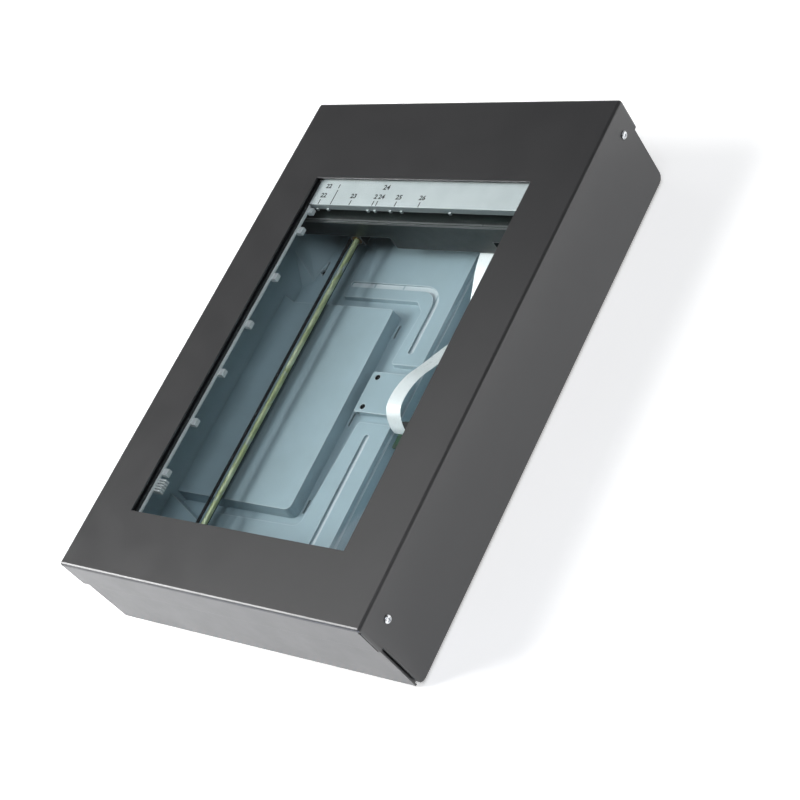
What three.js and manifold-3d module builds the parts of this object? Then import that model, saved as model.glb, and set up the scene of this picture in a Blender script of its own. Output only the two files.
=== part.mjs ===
// A flatbed foot scanner that stands on the floor, in millimetres, with +Z up.
// The origin is on the floor, under the middle of the case. The ruler end of the window is the rear, +Y.
import * as THREE from "three";
import { mergeVertices } from "three/addons/utils/BufferGeometryUtils.js";
import Module from "manifold-3d";

const wasm = await Module();
wasm.setup();

// Case of folded sheet steel
const caseWidth = 400;
const caseLength = 608;
const sheet = 2;
const foldRadius = 3;
const seat = 0.3; // gap left between two pieces that touch
const skirtDepth = 39; // height of the cover's end skirts
const flangeSetback = 5.3; // the side flanges' ends stand this far in from the skirts
const flangeCorner = 8;
const seamWidth = 0.8;
const endPanelInset = 6.5; // the base's end panels are narrower than the cover
const sideLip = 15;
const earWidth = 46;
const panClearTop = 12; // the base's end panels stop this far below the cover's top
const panCorner = 4;

// Window and glass
const windowLeft = 57;
const windowRight = 59;
const windowFront = 73;
const windowRear = 106;
const gasketThickness = 0.7;
const gasketWidth = 11;
const glassThickness = 4;
const glassOverlap = 14;
const frameThickness = 3.3;
const frameWidth = 24;
const frameRearStep = 10; // the frame opens this much wider at the rear, for the ruler strip
const postRadius = 4;
const bezelThickness = 2.5;
const bezelReach = 2; // the bezel's inner edge shows this far inside the window
const bezelGap = 1.3; // tray to bezel
const tabCount = 6;
const firstTab = 67; // from the window's rear edge
const lastTab = 50; // from its front edge
const tabLength = 8;
const tabReach = 6;
const tabDrop = 4;
const combCount = 5;
const combPitch = 3.2;
const combOffset = 31; // from the window's front edge
const combReach = 9;

// Ruler strip
const stripDepth = 40;
const stripReach = 32; // how much of it shows in the window
const stripPlate = 2;
const stripLip = 7.8;
const lugWidth = 3;
const lugOffsets = [10, 25, 81, 91, 112, 127, 191]; // from the window's left edge

// Feet and cover screws
const footHeight = 5;
const footRadius = 12;
const footInsetX = 35;
const footInsetY = 39;
const footHole = 3;
const screwHead = 4.3;
const screwHeadHeight = 2.2;
const screwShank = 2;
const screwFrontInset = 28;
const screwRearInset = 23;
const screwDrop = 27;
const screwHoleClearance = 0.5;
const nutRadius = 5;

// Moulded tray
const traySideGap = 11; // case's outer face to tray
const trayEndGap = 8;
const trayWall = 3;
const trayCavityInset = 6;
const trayDraft = 9;
const troughLift = 10; // trough over the base
const troughDepth = 13; // valley over the trough
const shelfRise = 5;
const plateauRise = 10;
const rampRise = 5;
const plateRise = 3;
const cornerRise = 32;
const mouldDraft = 2;
const grooveDepth = 2.2;
const grooveWidth = 6.5;
const plateauFrontInset = 64; // from the window's front edge
const plateauRearInset = 116; // from the window's rear edge
const plateauRight = -16;
const shelfRight = 47;
const rearShelfReach = 144; // from the plateau's rear edge to the rear shelf's
const frontShelfGap = 133; // from the plateau's rear edge to the front shelf's
const troughInset = 29; // from the case's right side
const slotSize = [2.6, 16];
const plateThickness = 2;
const plateLeft = -6.5;
const plateWidth = 51;
const plateLength = 49.5;
const plateHoleInset = 6.5;
const plateOffset = 123; // from its front edge to the plateau's rear edge

// Guide rod, glide rail and carriage
const rodInset = 105; // from the case's left side
const rodDrop = 7; // below the carriage's floor
const rodRadius = 3;
const holderLength = 16;
const holderHead = 8.5;
const railInset = 54;
const railWidth = 12;
const railThickness = 1.5;
const ledgeDrop = 24;
const parkOffset = 149; // from the parked carriage's front to the case's rear
const carriageLength = 74;
const carriageLeftInset = 32;
const carriageRightInset = 34;
const carriageDepth = 24;
const carriageGap = 7; // carriage to the tray's rim
const wellLeft = -45; // the deeper middle of the carriage
const wellRight = 91.5;
const wellDepth = 18;
const wellGap = 8; // well to plateau
const carriageWall = 2.5;
const strutPitch = 28;
const lidThickness = 1.7;
const slitOffset = 31; // from the carriage's front face to the scan line
const slitWidth = 7;
const bushRadius = 6;
const bushLength = 12;
const bushBlockWidth = 15;

// Optics
const mirrorThickness = 2;
const mirrorWidth = 12;
const lampRadius = 1.5;
const lensRadius = 8;
const lensLength = 20;
const lensOffset = 38;
const lensLift = 11.5; // above the well's floor
const lampOffset = 12;
const lampDrop = 8; // below the lid's top
const lampInset = 23; // lamp's lit part to the carriage's right end
const reflectorSheet = 1.2;
const sensorInset = 8;
const mirrorDrop = 15;
const mirrorTilt = 0.14;
const boardThickness = 1.6;

// Belt drive
const beltPitch = 2.032;
const pulleyTeeth = 16;
const beltThickness = 1.1;
const beltWidth = 4;
const beltOffset = 12.6; // belt to rod
const beltDrop = 8.7;
const flangeThickness = 0.8;
const flangeLift = 1.4;
const gearModule = 0.8;
const wheelTeeth = 30;
const pinionTeeth = 10;
const gearWidth = 4;
const pinRadius = 1.5;
const motorRadius = 12.5;
const motorLength = 18;
const shaftRadius = 1;
const bracketSheet = 1.5;
const cordDepth = 0.25; // the belt's inner face lies this far inside its cord
const sidePlay = 0.6; // belt edge to pulley flange
const toothPlay = 0.32;
const pulleyInset = 52; // both pulley axes stand this far in from the case's ends
const motorAngle = 0.6435; // direction from the wheel's axis up to the motor's, 3 : 4
const cheekThickness = 1;
const leafThickness = 0.5;
const leafWidth = 4;
const holderTab = 7.5;
const pegRadius = 1.5;
const holeCount = 5;
const holeCircle = 8.4;
const holeRadius = 1.9;
const bracketGap = 0.9; // bracket to gear
const bracketFoot = 20;
const bossRadius = 4.5;
const earReach = 17.5;
const pinHead = 1.2;

// Electronics
const cableWidth = 18;
const cableThickness = 0.6;
const cableX = 72.5;
const cableReach = 272.5; // from the slot in the carriage to the ribbon's connector
const mainBoardWidth = 140;
const mainBoardLength = 45;
const boardSideInset = 27; // main board to the tray's right side
const boardRearInset = 15;
const tongueReach = 1.5; // the board's tongue carries the sockets through the tray's wall
const boardLift = 8;
const usbInset = 82; // from the case's right side
const usbWidth = 12;
const usbDepth = 16;
const jackInset = 54;
const jackWidth = 10;
const jackDepth = 13.5;
const socketHeight = 11;
const socketRecess = 0.5;
const relayLift = 15;
const relayLength = 32;
const relayMargin = 14; // relay board's left edge to the ribbon's middle
const relayReach = 16; // the relay board reaches this far behind the connector's front
const ribbonLift = 7; // ribbon above the relay board at its connector
const leadOffset = 20.5; // lead to ribbon
const leadWidth = 8;

// Ventilation slots beside the sockets
const ventCount = 10;
const ventInset = 50;
const ventPitch = 9;
const ventWidth = 3.5;
const ventBottom = 30;
const ventHeight = 26;

// Values that follow from the ones above
const halfWidth = caseWidth / 2;
const halfLength = caseLength / 2;
const windowX0 = -halfWidth + windowLeft;
const windowX1 = halfWidth - windowRight;
const windowY0 = -halfLength + windowFront;
const windowY1 = halfLength - windowRear;
const trayHalfWidth = halfWidth - traySideGap;
const trayHalfLength = halfLength - trayEndGap;

// Heights, stacked from the base up to the cover
const troughLevel = sheet + troughLift;
const valleyLevel = troughLevel + troughDepth;
const shelfLevel = valleyLevel + shelfRise;
const plateauLevel = shelfLevel + plateauRise;
const rampLevel = plateauLevel + rampRise;
const plateTop = shelfLevel + plateRise;
const wellFloor = plateauLevel + wellGap;
const carriageFloor = wellFloor + wellDepth;
const carriageTop = carriageFloor + carriageDepth;
const trayTop = carriageTop + carriageGap;
const bezelTop = trayTop + bezelGap + bezelThickness;
const frameTop = bezelTop + seat + frameThickness;
const glassTop = frameTop + seat + glassThickness;
const gasketTop = glassTop + seat + gasketThickness;
const coverUnder = gasketTop + seat;
const caseHeight = coverUnder + sheet;
const rodZ = carriageFloor - rodDrop;
const ledgeTop = carriageFloor - ledgeDrop;
const beltZ = rodZ - beltDrop;
const lensZ = wellFloor + lensLift;
const lampZ = carriageTop - lampDrop;
const upperMirrorZ = carriageTop - mirrorDrop;

// Places across and along the case
const rodX = rodInset - halfWidth;
const beltX = rodX - beltOffset;
const railX = halfWidth - railInset;
const troughRight = halfWidth - troughInset;
const carriageLeft = carriageLeftInset - halfWidth;
const carriageRight = halfWidth - carriageRightInset;
const carriageFront = halfLength - parkOffset;
const lampHalf = carriageRight - lampInset;
const stripFront = windowY1 - stripReach;
const plateauFront = windowY0 + plateauFrontInset;
const plateauRear = windowY1 - plateauRearInset;
const plateFront = plateauRear - plateOffset;
const ledgeRear = trayHalfLength - 65;
const skirtBottom = caseHeight - skirtDepth;
const panHalfWidth = halfWidth - endPanelInset;
const panHalfLength = halfLength - sheet - seat;
const panTop = caseHeight - panClearTop;
const carriageBack = carriageFront + carriageLength;
const pulleyRadius = (beltPitch * pulleyTeeth) / (2 * Math.PI);
const wheelRadius = (gearModule * wheelTeeth) / 2;
const pinionRadius = (gearModule * pinionTeeth) / 2;
const drivePulleyY = halfLength - pulleyInset;
const idlerY = -halfLength + pulleyInset;
const lidBottom = carriageTop - lidThickness;
const housingTop = lidBottom - seat;
const slitY = carriageFront + slitOffset;
const blockHalf = bushBlockWidth / 2;
const rodBlockBottom = rodZ - bushRadius - 2.5;
const lensY = carriageFront + lensOffset;
const sensorBoardY = carriageBack - sensorInset; // the board's rear face
const lampY = slitY - lampOffset;
const mirrorPlaces = {
  upper: { y: slitY, z: upperMirrorZ, turn: Math.PI / 4, half: carriageRight - 16 },
  rear: { y: carriageBack - 11, z: upperMirrorZ + 1, turn: Math.PI + mirrorTilt, half: carriageRight - 28 },
  front: { y: carriageFront + 7.5, z: lensZ, turn: mirrorTilt, half: -wellLeft - 6 },
};
const ribbonSlotY = sensorBoardY - 6.5;
const ribbonTop = wellFloor + 5;
const connectorFront = ribbonSlotY - cableReach;
const relayRear = connectorFront + relayReach;
const relayTop = troughLevel + relayLift;
const ribbonEnd = relayTop + ribbonLift;
const leadX = cableX + leadOffset;
const mainBoardX = trayHalfWidth - boardSideInset - mainBoardWidth / 2;
const mainBoardRear = trayHalfLength - boardRearInset;
const tongueRear = trayHalfLength + tongueReach;
const usbX = halfWidth - usbInset;
const jackX = halfWidth - jackInset;
const socketRear = panHalfLength - socketRecess;
const beltInner = pulleyRadius - cordDepth;
const pulleyLength = beltWidth + 2 * sidePlay;
const pulleyStart = beltX - pulleyLength / 2;
const wheelX = pulleyStart - flangeThickness; // the gear's face towards the belt
const motorY = drivePulleyY + (wheelRadius + pinionRadius) * Math.cos(motorAngle);
const motorZ = beltZ + (wheelRadius + pinionRadius) * Math.sin(motorAngle);
const bracketX = wheelX - gearWidth - bracketGap - bracketSheet;
const motorLeadX = bracketX - 12;
const motorLeadY = drivePulleyY + 6;
const cheekLeft = pulleyStart - flangeThickness - seat - cheekThickness;
const cheekRight = pulleyStart + pulleyLength + flangeThickness + seat;
const leafRoot = idlerY + 6.5;
const leafGap = leafThickness / 2 + seat;
const boardTop = valleyLevel + boardLift + boardThickness;
const screwZ = caseHeight - screwDrop;
const screwPlaces = { front: -halfLength + screwFrontInset, rear: halfLength - screwRearInset };

// A closed three.js geometry as a solid, and back again
function solidOf(geometry) {
  const bare = geometry.clone();
  bare.deleteAttribute("normal");
  bare.deleteAttribute("uv");
  const merged = mergeVertices(bare, 1e-4);
  return new wasm.Manifold(
    new wasm.Mesh({
      numProp: 3,
      vertProperties: merged.attributes.position.array,
      triVerts: new Uint32Array(merged.index.array),
    }),
  );
}

function geometryOf(solid) {
  const mesh = solid.getMesh();
  const geometry = new THREE.BufferGeometry();
  geometry.setAttribute("position", new THREE.BufferAttribute(mesh.vertProperties, 3));
  geometry.setIndex(new THREE.BufferAttribute(mesh.triVerts, 1));
  const flat = geometry.toNonIndexed();
  flat.computeVertexNormals();
  return flat;
}

const join = (first, ...rest) => rest.reduce((sum, piece) => sum.add(piece), first);
const cut = (first, ...rest) => rest.reduce((left, piece) => left.subtract(piece), first);

// Basic solids, given by their limits
function block(x0, x1, y0, y1, z0, z1) {
  const box = new THREE.BoxGeometry(x1 - x0, y1 - y0, z1 - z0);
  return solidOf(box.translate((x0 + x1) / 2, (y0 + y1) / 2, (z0 + z1) / 2));
}

function cylinder(axis, radius, from, to, a, b, sides = 24) {
  const geometry = new THREE.CylinderGeometry(radius, radius, to - from, sides);
  const middle = (from + to) / 2;
  if (axis === "x") geometry.rotateZ(-Math.PI / 2).translate(middle, a, b);
  if (axis === "y") geometry.translate(a, middle, b);
  if (axis === "z") geometry.rotateX(Math.PI / 2).translate(a, b, middle);
  return solidOf(geometry);
}

// Prisms: an outline in XY raised along Z, one in XZ drawn along Y, one in YZ drawn along X
function prismZ(shape, z0, z1, segments = 8) {
  const options = { depth: z1 - z0, bevelEnabled: false, curveSegments: segments };
  return solidOf(new THREE.ExtrudeGeometry(shape, options).translate(0, 0, z0));
}

function turnedPrism(shape, length, xAxis, yAxis, zAxis, start) {
  const options = { depth: length, bevelEnabled: false, curveSegments: 8 };
  const geometry = new THREE.ExtrudeGeometry(shape, options);
  geometry.applyMatrix4(new THREE.Matrix4().makeBasis(xAxis, yAxis, zAxis));
  return solidOf(geometry.translate(start.x, start.y, start.z));
}

const axisX = new THREE.Vector3(1, 0, 0);
const axisY = new THREE.Vector3(0, 1, 0);
const axisZ = new THREE.Vector3(0, 0, 1);

function prismY(shape, y0, y1) {
  const start = new THREE.Vector3(0, y1, 0);
  return turnedPrism(shape, y1 - y0, axisX, axisZ, axisY.clone().negate(), start);
}

function prismX(shape, x0, x1) {
  return turnedPrism(shape, x1 - x0, axisY, axisZ, axisX, new THREE.Vector3(x0, 0, 0));
}

// Corners given as [x, y, radius], anticlockwise, grown outwards and rounded
function outline(corners, grow = 0, segments = 3) {
  const count = corners.length;
  const moved = corners.map(([x, y], i) => {
    const before = corners[(i + count - 1) % count];
    const after = corners[(i + 1) % count];
    const one = new THREE.Vector2(x - before[0], y - before[1]).normalize();
    const two = new THREE.Vector2(after[0] - x, after[1] - y).normalize();
    const miter = new THREE.Vector2(one.y + two.y, -one.x - two.x);
    miter.multiplyScalar(grow / (1 + one.dot(two)));
    return new THREE.Vector2(x, y).add(miter);
  });
  const points = [];
  moved.forEach((corner, i) => {
    const one = corner.clone().sub(moved[(i + count - 1) % count]).normalize();
    const two = moved[(i + 1) % count].clone().sub(corner).normalize();
    const turn = one.cross(two);
    const radius = corners[i][2] ? Math.max(corners[i][2] + Math.sign(turn) * grow, 0.3) : 0;
    if (!radius) {
      points.push(corner);
      return;
    }
    const half = Math.acos(THREE.MathUtils.clamp(one.dot(two), -1, 1)) / 2;
    const reach = radius * Math.tan(half);
    const start = corner.clone().addScaledVector(one, -reach);
    const side = new THREE.Vector2(-one.y, one.x).multiplyScalar(Math.sign(turn) * radius);
    const centre = start.clone().add(side);
    for (let k = 0; k <= segments; k += 1) {
      const angle = (Math.sign(turn) * 2 * half * k) / segments;
      points.push(start.clone().rotateAround(centre, angle));
    }
  });
  return points;
}

const shapeOf = (corners, grow = 0, segments = 3) => new THREE.Shape(outline(corners, grow, segments));

function rectangle(x0, x1, y0, y1, radius = 0) {
  return [
    [x0, y0, radius],
    [x1, y0, radius],
    [x1, y1, radius],
    [x0, y1, radius],
  ];
}

// A solid between two outlines with equally many points
function loft(lower, upper, z0, z1) {
  const count = lower.length;
  const faces = THREE.ShapeUtils.triangulateShape(lower, []);
  const positions = [...lower.flatMap((p) => [p.x, p.y, z0]), ...upper.flatMap((p) => [p.x, p.y, z1])];
  const index = faces.flatMap(([a, b, c]) => [c, b, a, a + count, b + count, c + count]);
  for (let i = 0; i < count; i += 1) {
    const next = (i + 1) % count;
    index.push(i, next, next + count, i, next + count, i + count);
  }
  const geometry = new THREE.BufferGeometry();
  geometry.setAttribute("position", new THREE.Float32BufferAttribute(positions, 3));
  return solidOf(geometry.setIndex(index));
}

// A moulded boss is wider at its foot, and a moulded pocket is wider at its mouth
const boss = (corners, z0, z1, draft) => loft(outline(corners, draft), outline(corners), z0, z1);
const pocket = (corners, z0, z1, draft) => loft(outline(corners, -draft), outline(corners), z0, z1);

// A band of constant width along a line of points, with round ends when asked
function band(points, width, roundEnds = false) {
  const left = [];
  const right = [];
  points.forEach((point, i) => {
    const before = points[Math.max(i - 1, 0)];
    const after = points[Math.min(i + 1, points.length - 1)];
    const along = after.clone().sub(before).normalize();
    const side = new THREE.Vector2(-along.y, along.x).multiplyScalar(width / 2);
    left.push(point.clone().add(side));
    right.unshift(point.clone().sub(side));
  });
  const cap = (centre, from) => {
    const turns = [1, 2, 3, 4, 5];
    return turns.map((k) => from.clone().rotateAround(centre, (-Math.PI * k) / (turns.length + 1)));
  };
  const last = points.length - 1;
  const far = roundEnds ? cap(points[last], left[last]) : [];
  const near = roundEnds ? cap(points[0], right[last]) : [];
  return new THREE.Shape([...left, ...far, ...right, ...near].reverse());
}

// Smooth line through [a, b] points
function smoothLine(points, count) {
  const curve = new THREE.CatmullRomCurve3(points.map(([a, b]) => new THREE.Vector3(a, b, 0)));
  return curve.getPoints(count).map((p) => new THREE.Vector2(p.x, p.y));
}

// Spur gear outline with straight-flanked teeth that narrow towards the tip
function gearShape(teeth, module, play) {
  const radius = (module * teeth) / 2;
  const pitchAngle = (2 * Math.PI) / teeth;
  const tip = radius + 0.9 * module;
  const root = radius - 1.2 * module;
  const halfAt = (r) => pitchAngle / 4 - play / (2 * radius) - ((r - radius) * Math.tan(0.4)) / radius;
  const points = [];
  for (let i = 0; i < teeth; i += 1) {
    const centre = i * pitchAngle;
    [
      [root, -halfAt(root)],
      [tip, -halfAt(tip)],
      [tip, halfAt(tip)],
      [root, halfAt(root)],
    ].forEach(([r, angle]) => {
      points.push(new THREE.Vector2(r * Math.cos(centre + angle), r * Math.sin(centre + angle)));
    });
  }
  return new THREE.Shape(points);
}

// Finishes
const finish = (color, roughness, metalness = 0, more = {}) =>
  new THREE.MeshStandardMaterial({ color, roughness, metalness, ...more });
const enamel = finish(0x4a4a4c, 0.45, 0.2);
const clearGlass = finish(0xdfeeee, 0.05, 0, { transparent: true, opacity: 0.25 });
const blackFoam = finish(0x141415, 0.8);
const blackPlastic = finish(0x1c1d1f, 0.5);
const whitePlastic = finish(0xe2e8e9, 0.5);
const stripPlastic = finish(0xcdd6d8, 0.45);
const trayPlastic = finish(0x8fa4ae, 0.55);
const darkPlastic = finish(0x2b3336, 0.5);
const rodSteel = finish(0xb9bc8e, 0.3, 0.8);
const zinc = finish(0xd8dadc, 0.3, 0.9);
const blackSteel = finish(0x202224, 0.4, 0.6);
const stainless = finish(0xb5b9bc, 0.35, 0.9);
const bronze = finish(0x9b7b4a, 0.45, 0.8);
const brass = finish(0xc9a84f, 0.35, 0.9);
const mirrorCoat = finish(0xe8eef0, 0.05, 1);
const lampGlass = finish(0xf4f6f2, 0.2);
const boardGreen = finish(0x1f5a3a, 0.5);
const rubber = finish(0x1a1a1a, 0.85);
const beltRubber = finish(0x151515, 0.75);
const acetal = finish(0xe9e6dc, 0.5);
const ribbonFilm = finish(0xf2f4f3, 0.4);

const scanner = new THREE.Group();
const caseGroup = new THREE.Group(); // its zero height is the underside of the base
caseGroup.position.z = footHeight;
scanner.add(caseGroup);

function place(name, solid, material, position = [0, 0, 0], parent = caseGroup) {
  const mesh = new THREE.Mesh(geometryOf(solid), material);
  mesh.name = name;
  mesh.position.set(...position);
  parent.add(mesh);
  return mesh;
}

// Folded cover: a top plate with side flanges and short end skirts
function coverBlank(inset) {
  const radius = Math.max(foldRadius - inset, 1);
  const x = halfWidth - inset - radius;
  const y = halfLength - inset - radius;
  const shape = shapeOf(rectangle(-x, x, -y, y, 0.6), 0, 2);
  const options = {
    depth: caseHeight,
    bevelThickness: radius,
    bevelSize: radius,
    bevelSegments: 3,
    curveSegments: 3,
  };
  const raw = solidOf(new THREE.ExtrudeGeometry(shape, options).translate(0, 0, -inset - radius));
  const below = block(-caseWidth, caseWidth, -caseLength, caseLength, -caseHeight, 0);
  return cut(raw, below);
}

const windowCorners = rectangle(windowX0, windowX1, windowY0, windowY1, 1);

function topCover() {
  const x = halfWidth + 1;
  const window = prismZ(shapeOf(windowCorners), coverUnder - 1, caseHeight + 1);
  let cover = cut(coverBlank(0), coverBlank(sheet), window);
  for (const end of [-1, 1]) {
    const inner = end * (halfLength - flangeSetback);
    const outer = end * (halfLength + 1);
    cover = cut(cover, block(-x, x, Math.min(inner, outer), Math.max(inner, outer), -1, skirtBottom));
    const corner = [
      [inner - end * flangeCorner, -1, 0],
      [inner + end, -1, 0],
      [inner + end, flangeCorner, 0],
      [inner, flangeCorner, 0],
      [inner - end * 0.12 * flangeCorner, 0.5 * flangeCorner, 0],
      [inner - end * 0.5 * flangeCorner, 0.12 * flangeCorner, 0],
      [inner - end * flangeCorner, 0, 0],
    ];
    const nib = shapeOf(end > 0 ? corner : [...corner].reverse());
    cover = cut(cover, prismX(nib, -x, x));
    for (const side of [-1, 1]) {
      const seam = side * (halfWidth - sheet - seamWidth / 2);
      const near = end * (halfLength - sheet - 1);
      cover = cut(
        cover,
        block(
          seam - seamWidth / 2,
          seam + seamWidth / 2,
          Math.min(near, outer),
          Math.max(near, outer),
          skirtBottom - 1,
          coverUnder - foldRadius,
        ),
        cylinder("y", 1.5, Math.min(near, outer), Math.max(near, outer), seam, coverUnder - foldRadius, 12),
      );
    }
  }
  for (const y of Object.values(screwPlaces)) {
    cover = cut(cover, cylinder("x", screwShank + screwHoleClearance, -x, x, y, screwZ, 12));
  }
  return cover;
}

// Folded base: floor, end panels with ears for the cover screws, low side lips
function basePan() {
  const cutter = foldRadius + sheet;
  const outer = rectangle(-panHalfWidth, panHalfWidth, 0, panTop, 0);
  outer[0][2] = panCorner;
  outer[1][2] = panCorner;
  const inner = rectangle(-panHalfWidth + sheet, panHalfWidth - sheet, sheet, panTop + 1, 0);
  inner[0][2] = panCorner - sheet;
  inner[1][2] = panCorner - sheet;
  const profile = rectangle(-panHalfLength, panHalfLength, 0, panTop, 0);
  profile[0][2] = foldRadius;
  profile[1][2] = foldRadius;
  let pan = prismY(shapeOf(outer), -panHalfLength, panHalfLength);
  pan = pan.intersect(prismX(shapeOf(profile), -caseWidth, caseWidth));
  const cavity = prismY(shapeOf(inner), -panHalfLength + sheet, panHalfLength - sheet);
  const earEnd = panHalfLength - earWidth;
  pan = cut(pan, cavity, block(-halfWidth, halfWidth, -earEnd, earEnd, sideLip, panTop + 1));
  const reach = halfWidth - sheet - seat;
  for (const y of Object.values(screwPlaces)) {
    const nuts = join(
      cylinder("x", nutRadius, panHalfWidth - sheet / 2, reach, y, screwZ, 6),
      cylinder("x", nutRadius, -reach, -panHalfWidth + sheet / 2, y, screwZ, 6),
    );
    pan = cut(join(pan, nuts), cylinder("x", screwShank + seat, -halfWidth, halfWidth, y, screwZ, 10));
  }
  for (const [x, y] of footPlaces()) {
    pan = cut(pan, cylinder("z", footHole + seat, -1, cutter, x, y, 10));
  }
  const back = [panHalfLength - sheet - 1, panHalfLength + 1];
  pan = cut(pan, block(usbX - 6.4, usbX + 6.4, ...back, boardTop - 0.2, boardTop + 11.6));
  pan = cut(pan, block(jackX - 5.4, jackX + 5.4, ...back, boardTop - 0.2, boardTop + 11.6));
  for (let i = 0; i < ventCount; i += 1) {
    const x = ventInset - halfWidth + i * ventPitch;
    pan = cut(pan, block(x, x + ventWidth, ...back, ventBottom, ventBottom + ventHeight));
  }
  return pan;
}

function footPlaces() {
  const x = halfWidth - footInsetX;
  const y = halfLength - footInsetY;
  return [
    [-x, -y],
    [x, -y],
    [-x, y],
    [x, y],
  ];
}

// Push-in rubber foot: tapered pad, stem through the base, barb above it
function rubberFoot() {
  const gapTop = -seat;
  const profile = [
    [0, -footHeight],
    [footRadius - 1.5, -footHeight],
    [footRadius - 0.5, -footHeight + 0.6],
    [footRadius, gapTop],
    [footHole, gapTop],
    [footHole, sheet + seat],
    [footHole + 1.6, sheet + seat],
    [footHole - 0.8, sheet + 4],
    [0, sheet + 4],
  ].map(([r, z]) => new THREE.Vector2(r, z));
  return solidOf(new THREE.LatheGeometry(profile, 12).rotateX(Math.PI / 2));
}

// Pan-head screw with a cross recess, drawn along +X with its seat at zero
function coverScrew() {
  const profile = [
    [0, -halfWidth + panHalfWidth - sheet - 1.2],
    [screwShank, -halfWidth + panHalfWidth - sheet - 1.2],
    [screwShank, seat],
    [screwHead, seat],
    [screwHead, seat + 0.7],
    [screwHead * 0.8, seat + 1.7],
    [screwHead * 0.4, seat + screwHeadHeight],
    [0, seat + screwHeadHeight],
  ].map(([r, x]) => new THREE.Vector2(r, x));
  const body = solidOf(new THREE.LatheGeometry(profile, 12).rotateZ(-Math.PI / 2));
  const arm = 2.2;
  const slot = 0.45;
  return cut(
    body,
    block(seat + 1, 9, -arm, arm, -slot, slot),
    block(seat + 1, 9, -slot, slot, -arm, arm),
  );
}

// Flat ring between two rectangles
function ring(outer, inner, z0, z1) {
  return cut(prismZ(shapeOf(outer), z0, z1), prismZ(shapeOf(inner), z0 - 1, z1 + 1));
}

const grown = (by, rear = 0) =>
  rectangle(windowX0 - by, windowX1 + by, windowY0 - by, windowY1 + by + rear, 1);

function glassFrame() {
  const bottom = frameTop - frameThickness;
  let frame = ring(grown(frameWidth, frameRearStep), grown(0, frameRearStep), bottom, frameTop);
  const x = [windowX0 - frameWidth + postRadius, windowX1 + frameWidth - postRadius];
  const y = [windowY0, (windowY0 + windowY1) / 2, windowY1];
  for (const px of x) {
    for (const py of y) {
      frame = join(frame, cylinder("z", postRadius, bottom + 1, coverUnder - seat, px, py, 10));
    }
  }
  return frame;
}

// White upper frame of the scanner, with a row of tabs and a small comb along its left edge
function scannerBezel() {
  const bottom = bezelTop - bezelThickness;
  const x0 = windowX0 + bezelReach;
  const rear = stripFront + 0.6 * stripDepth;
  const inner = rectangle(x0, windowX1 - bezelReach, windowY0 - bezelReach, rear, 1);
  const outer = rectangle(-trayHalfWidth, trayHalfWidth, -trayHalfLength, trayHalfLength, 3);
  const tab = (y, reach, length, drop) =>
    block(x0 - 2, x0 + reach, y, y + length, bottom - drop, bottom + 1);
  let bezel = join(ring(outer, inner, bottom, bezelTop), tab(stripFront - 7.5, tabReach - 1, 6.5, tabDrop));
  const rearmost = windowY1 - firstTab;
  const tabPitch = (rearmost - windowY0 - lastTab) / (tabCount - 1);
  for (let i = 0; i < tabCount; i += 1) {
    bezel = join(bezel, tab(rearmost - i * tabPitch, tabReach, tabLength, tabDrop));
  }
  for (let i = 0; i < combCount; i += 1) {
    bezel = join(bezel, tab(windowY0 + combOffset + i * combPitch, combReach, 2, tabDrop + 1));
  }
  return bezel;
}

// Ruler strip: a channel with a deep front lip and small lugs under it
function rulerStrip() {
  const top = frameTop;
  const x = windowX1 - bezelReach - 1;
  const left = windowX0 + bezelReach + 1;
  const back = stripFront + stripDepth;
  const profile = [
    [stripFront, top - stripLip, 0],
    [stripFront + stripPlate, top - stripLip, 0],
    [stripFront + stripPlate, top - stripPlate, 1],
    [back - stripPlate, top - stripPlate, 0],
    [back - stripPlate, bezelTop + seat, 0],
    [back, bezelTop + seat, 0],
    [back, top, 1],
    [stripFront, top, 1],
  ];
  let strip = prismX(shapeOf(profile, 0, 3), left, x);
  const lugBottom = top - stripLip - 1;
  for (const offset of lugOffsets) {
    const lug = windowX0 + offset;
    const run = [stripFront - 1.5, stripFront + 1];
    strip = join(strip, block(lug, lug + lugWidth, ...run, lugBottom, lugBottom + 3));
  }
  return strip;
}

place("top_cover", topCover(), enamel);
place("base_pan", basePan(), enamel);
footPlaces().forEach(([x, y], i) => place(`rubber_foot_${i + 1}`, rubberFoot(), rubber, [x, y, 0]));
for (const [end, y] of Object.entries(screwPlaces)) {
  place(`cover_screw_${end}_right`, coverScrew(), zinc, [halfWidth, y, screwZ]);
  const left = place(`cover_screw_${end}_left`, coverScrew(), zinc, [-halfWidth, y, screwZ]);
  left.rotation.z = Math.PI;
}
const gasketOutline = grown(gasketWidth, frameRearStep);
place("glass_gasket", ring(gasketOutline, grown(0), gasketTop - gasketThickness, gasketTop), blackFoam);
place("glass_plate", prismZ(shapeOf(grown(glassOverlap)), glassTop - glassThickness, glassTop), clearGlass);
place("glass_frame", glassFrame(), blackPlastic);
place("scanner_bezel", scannerBezel(), whitePlastic);
place("ruler_strip", rulerStrip(), stripPlastic);

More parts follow.
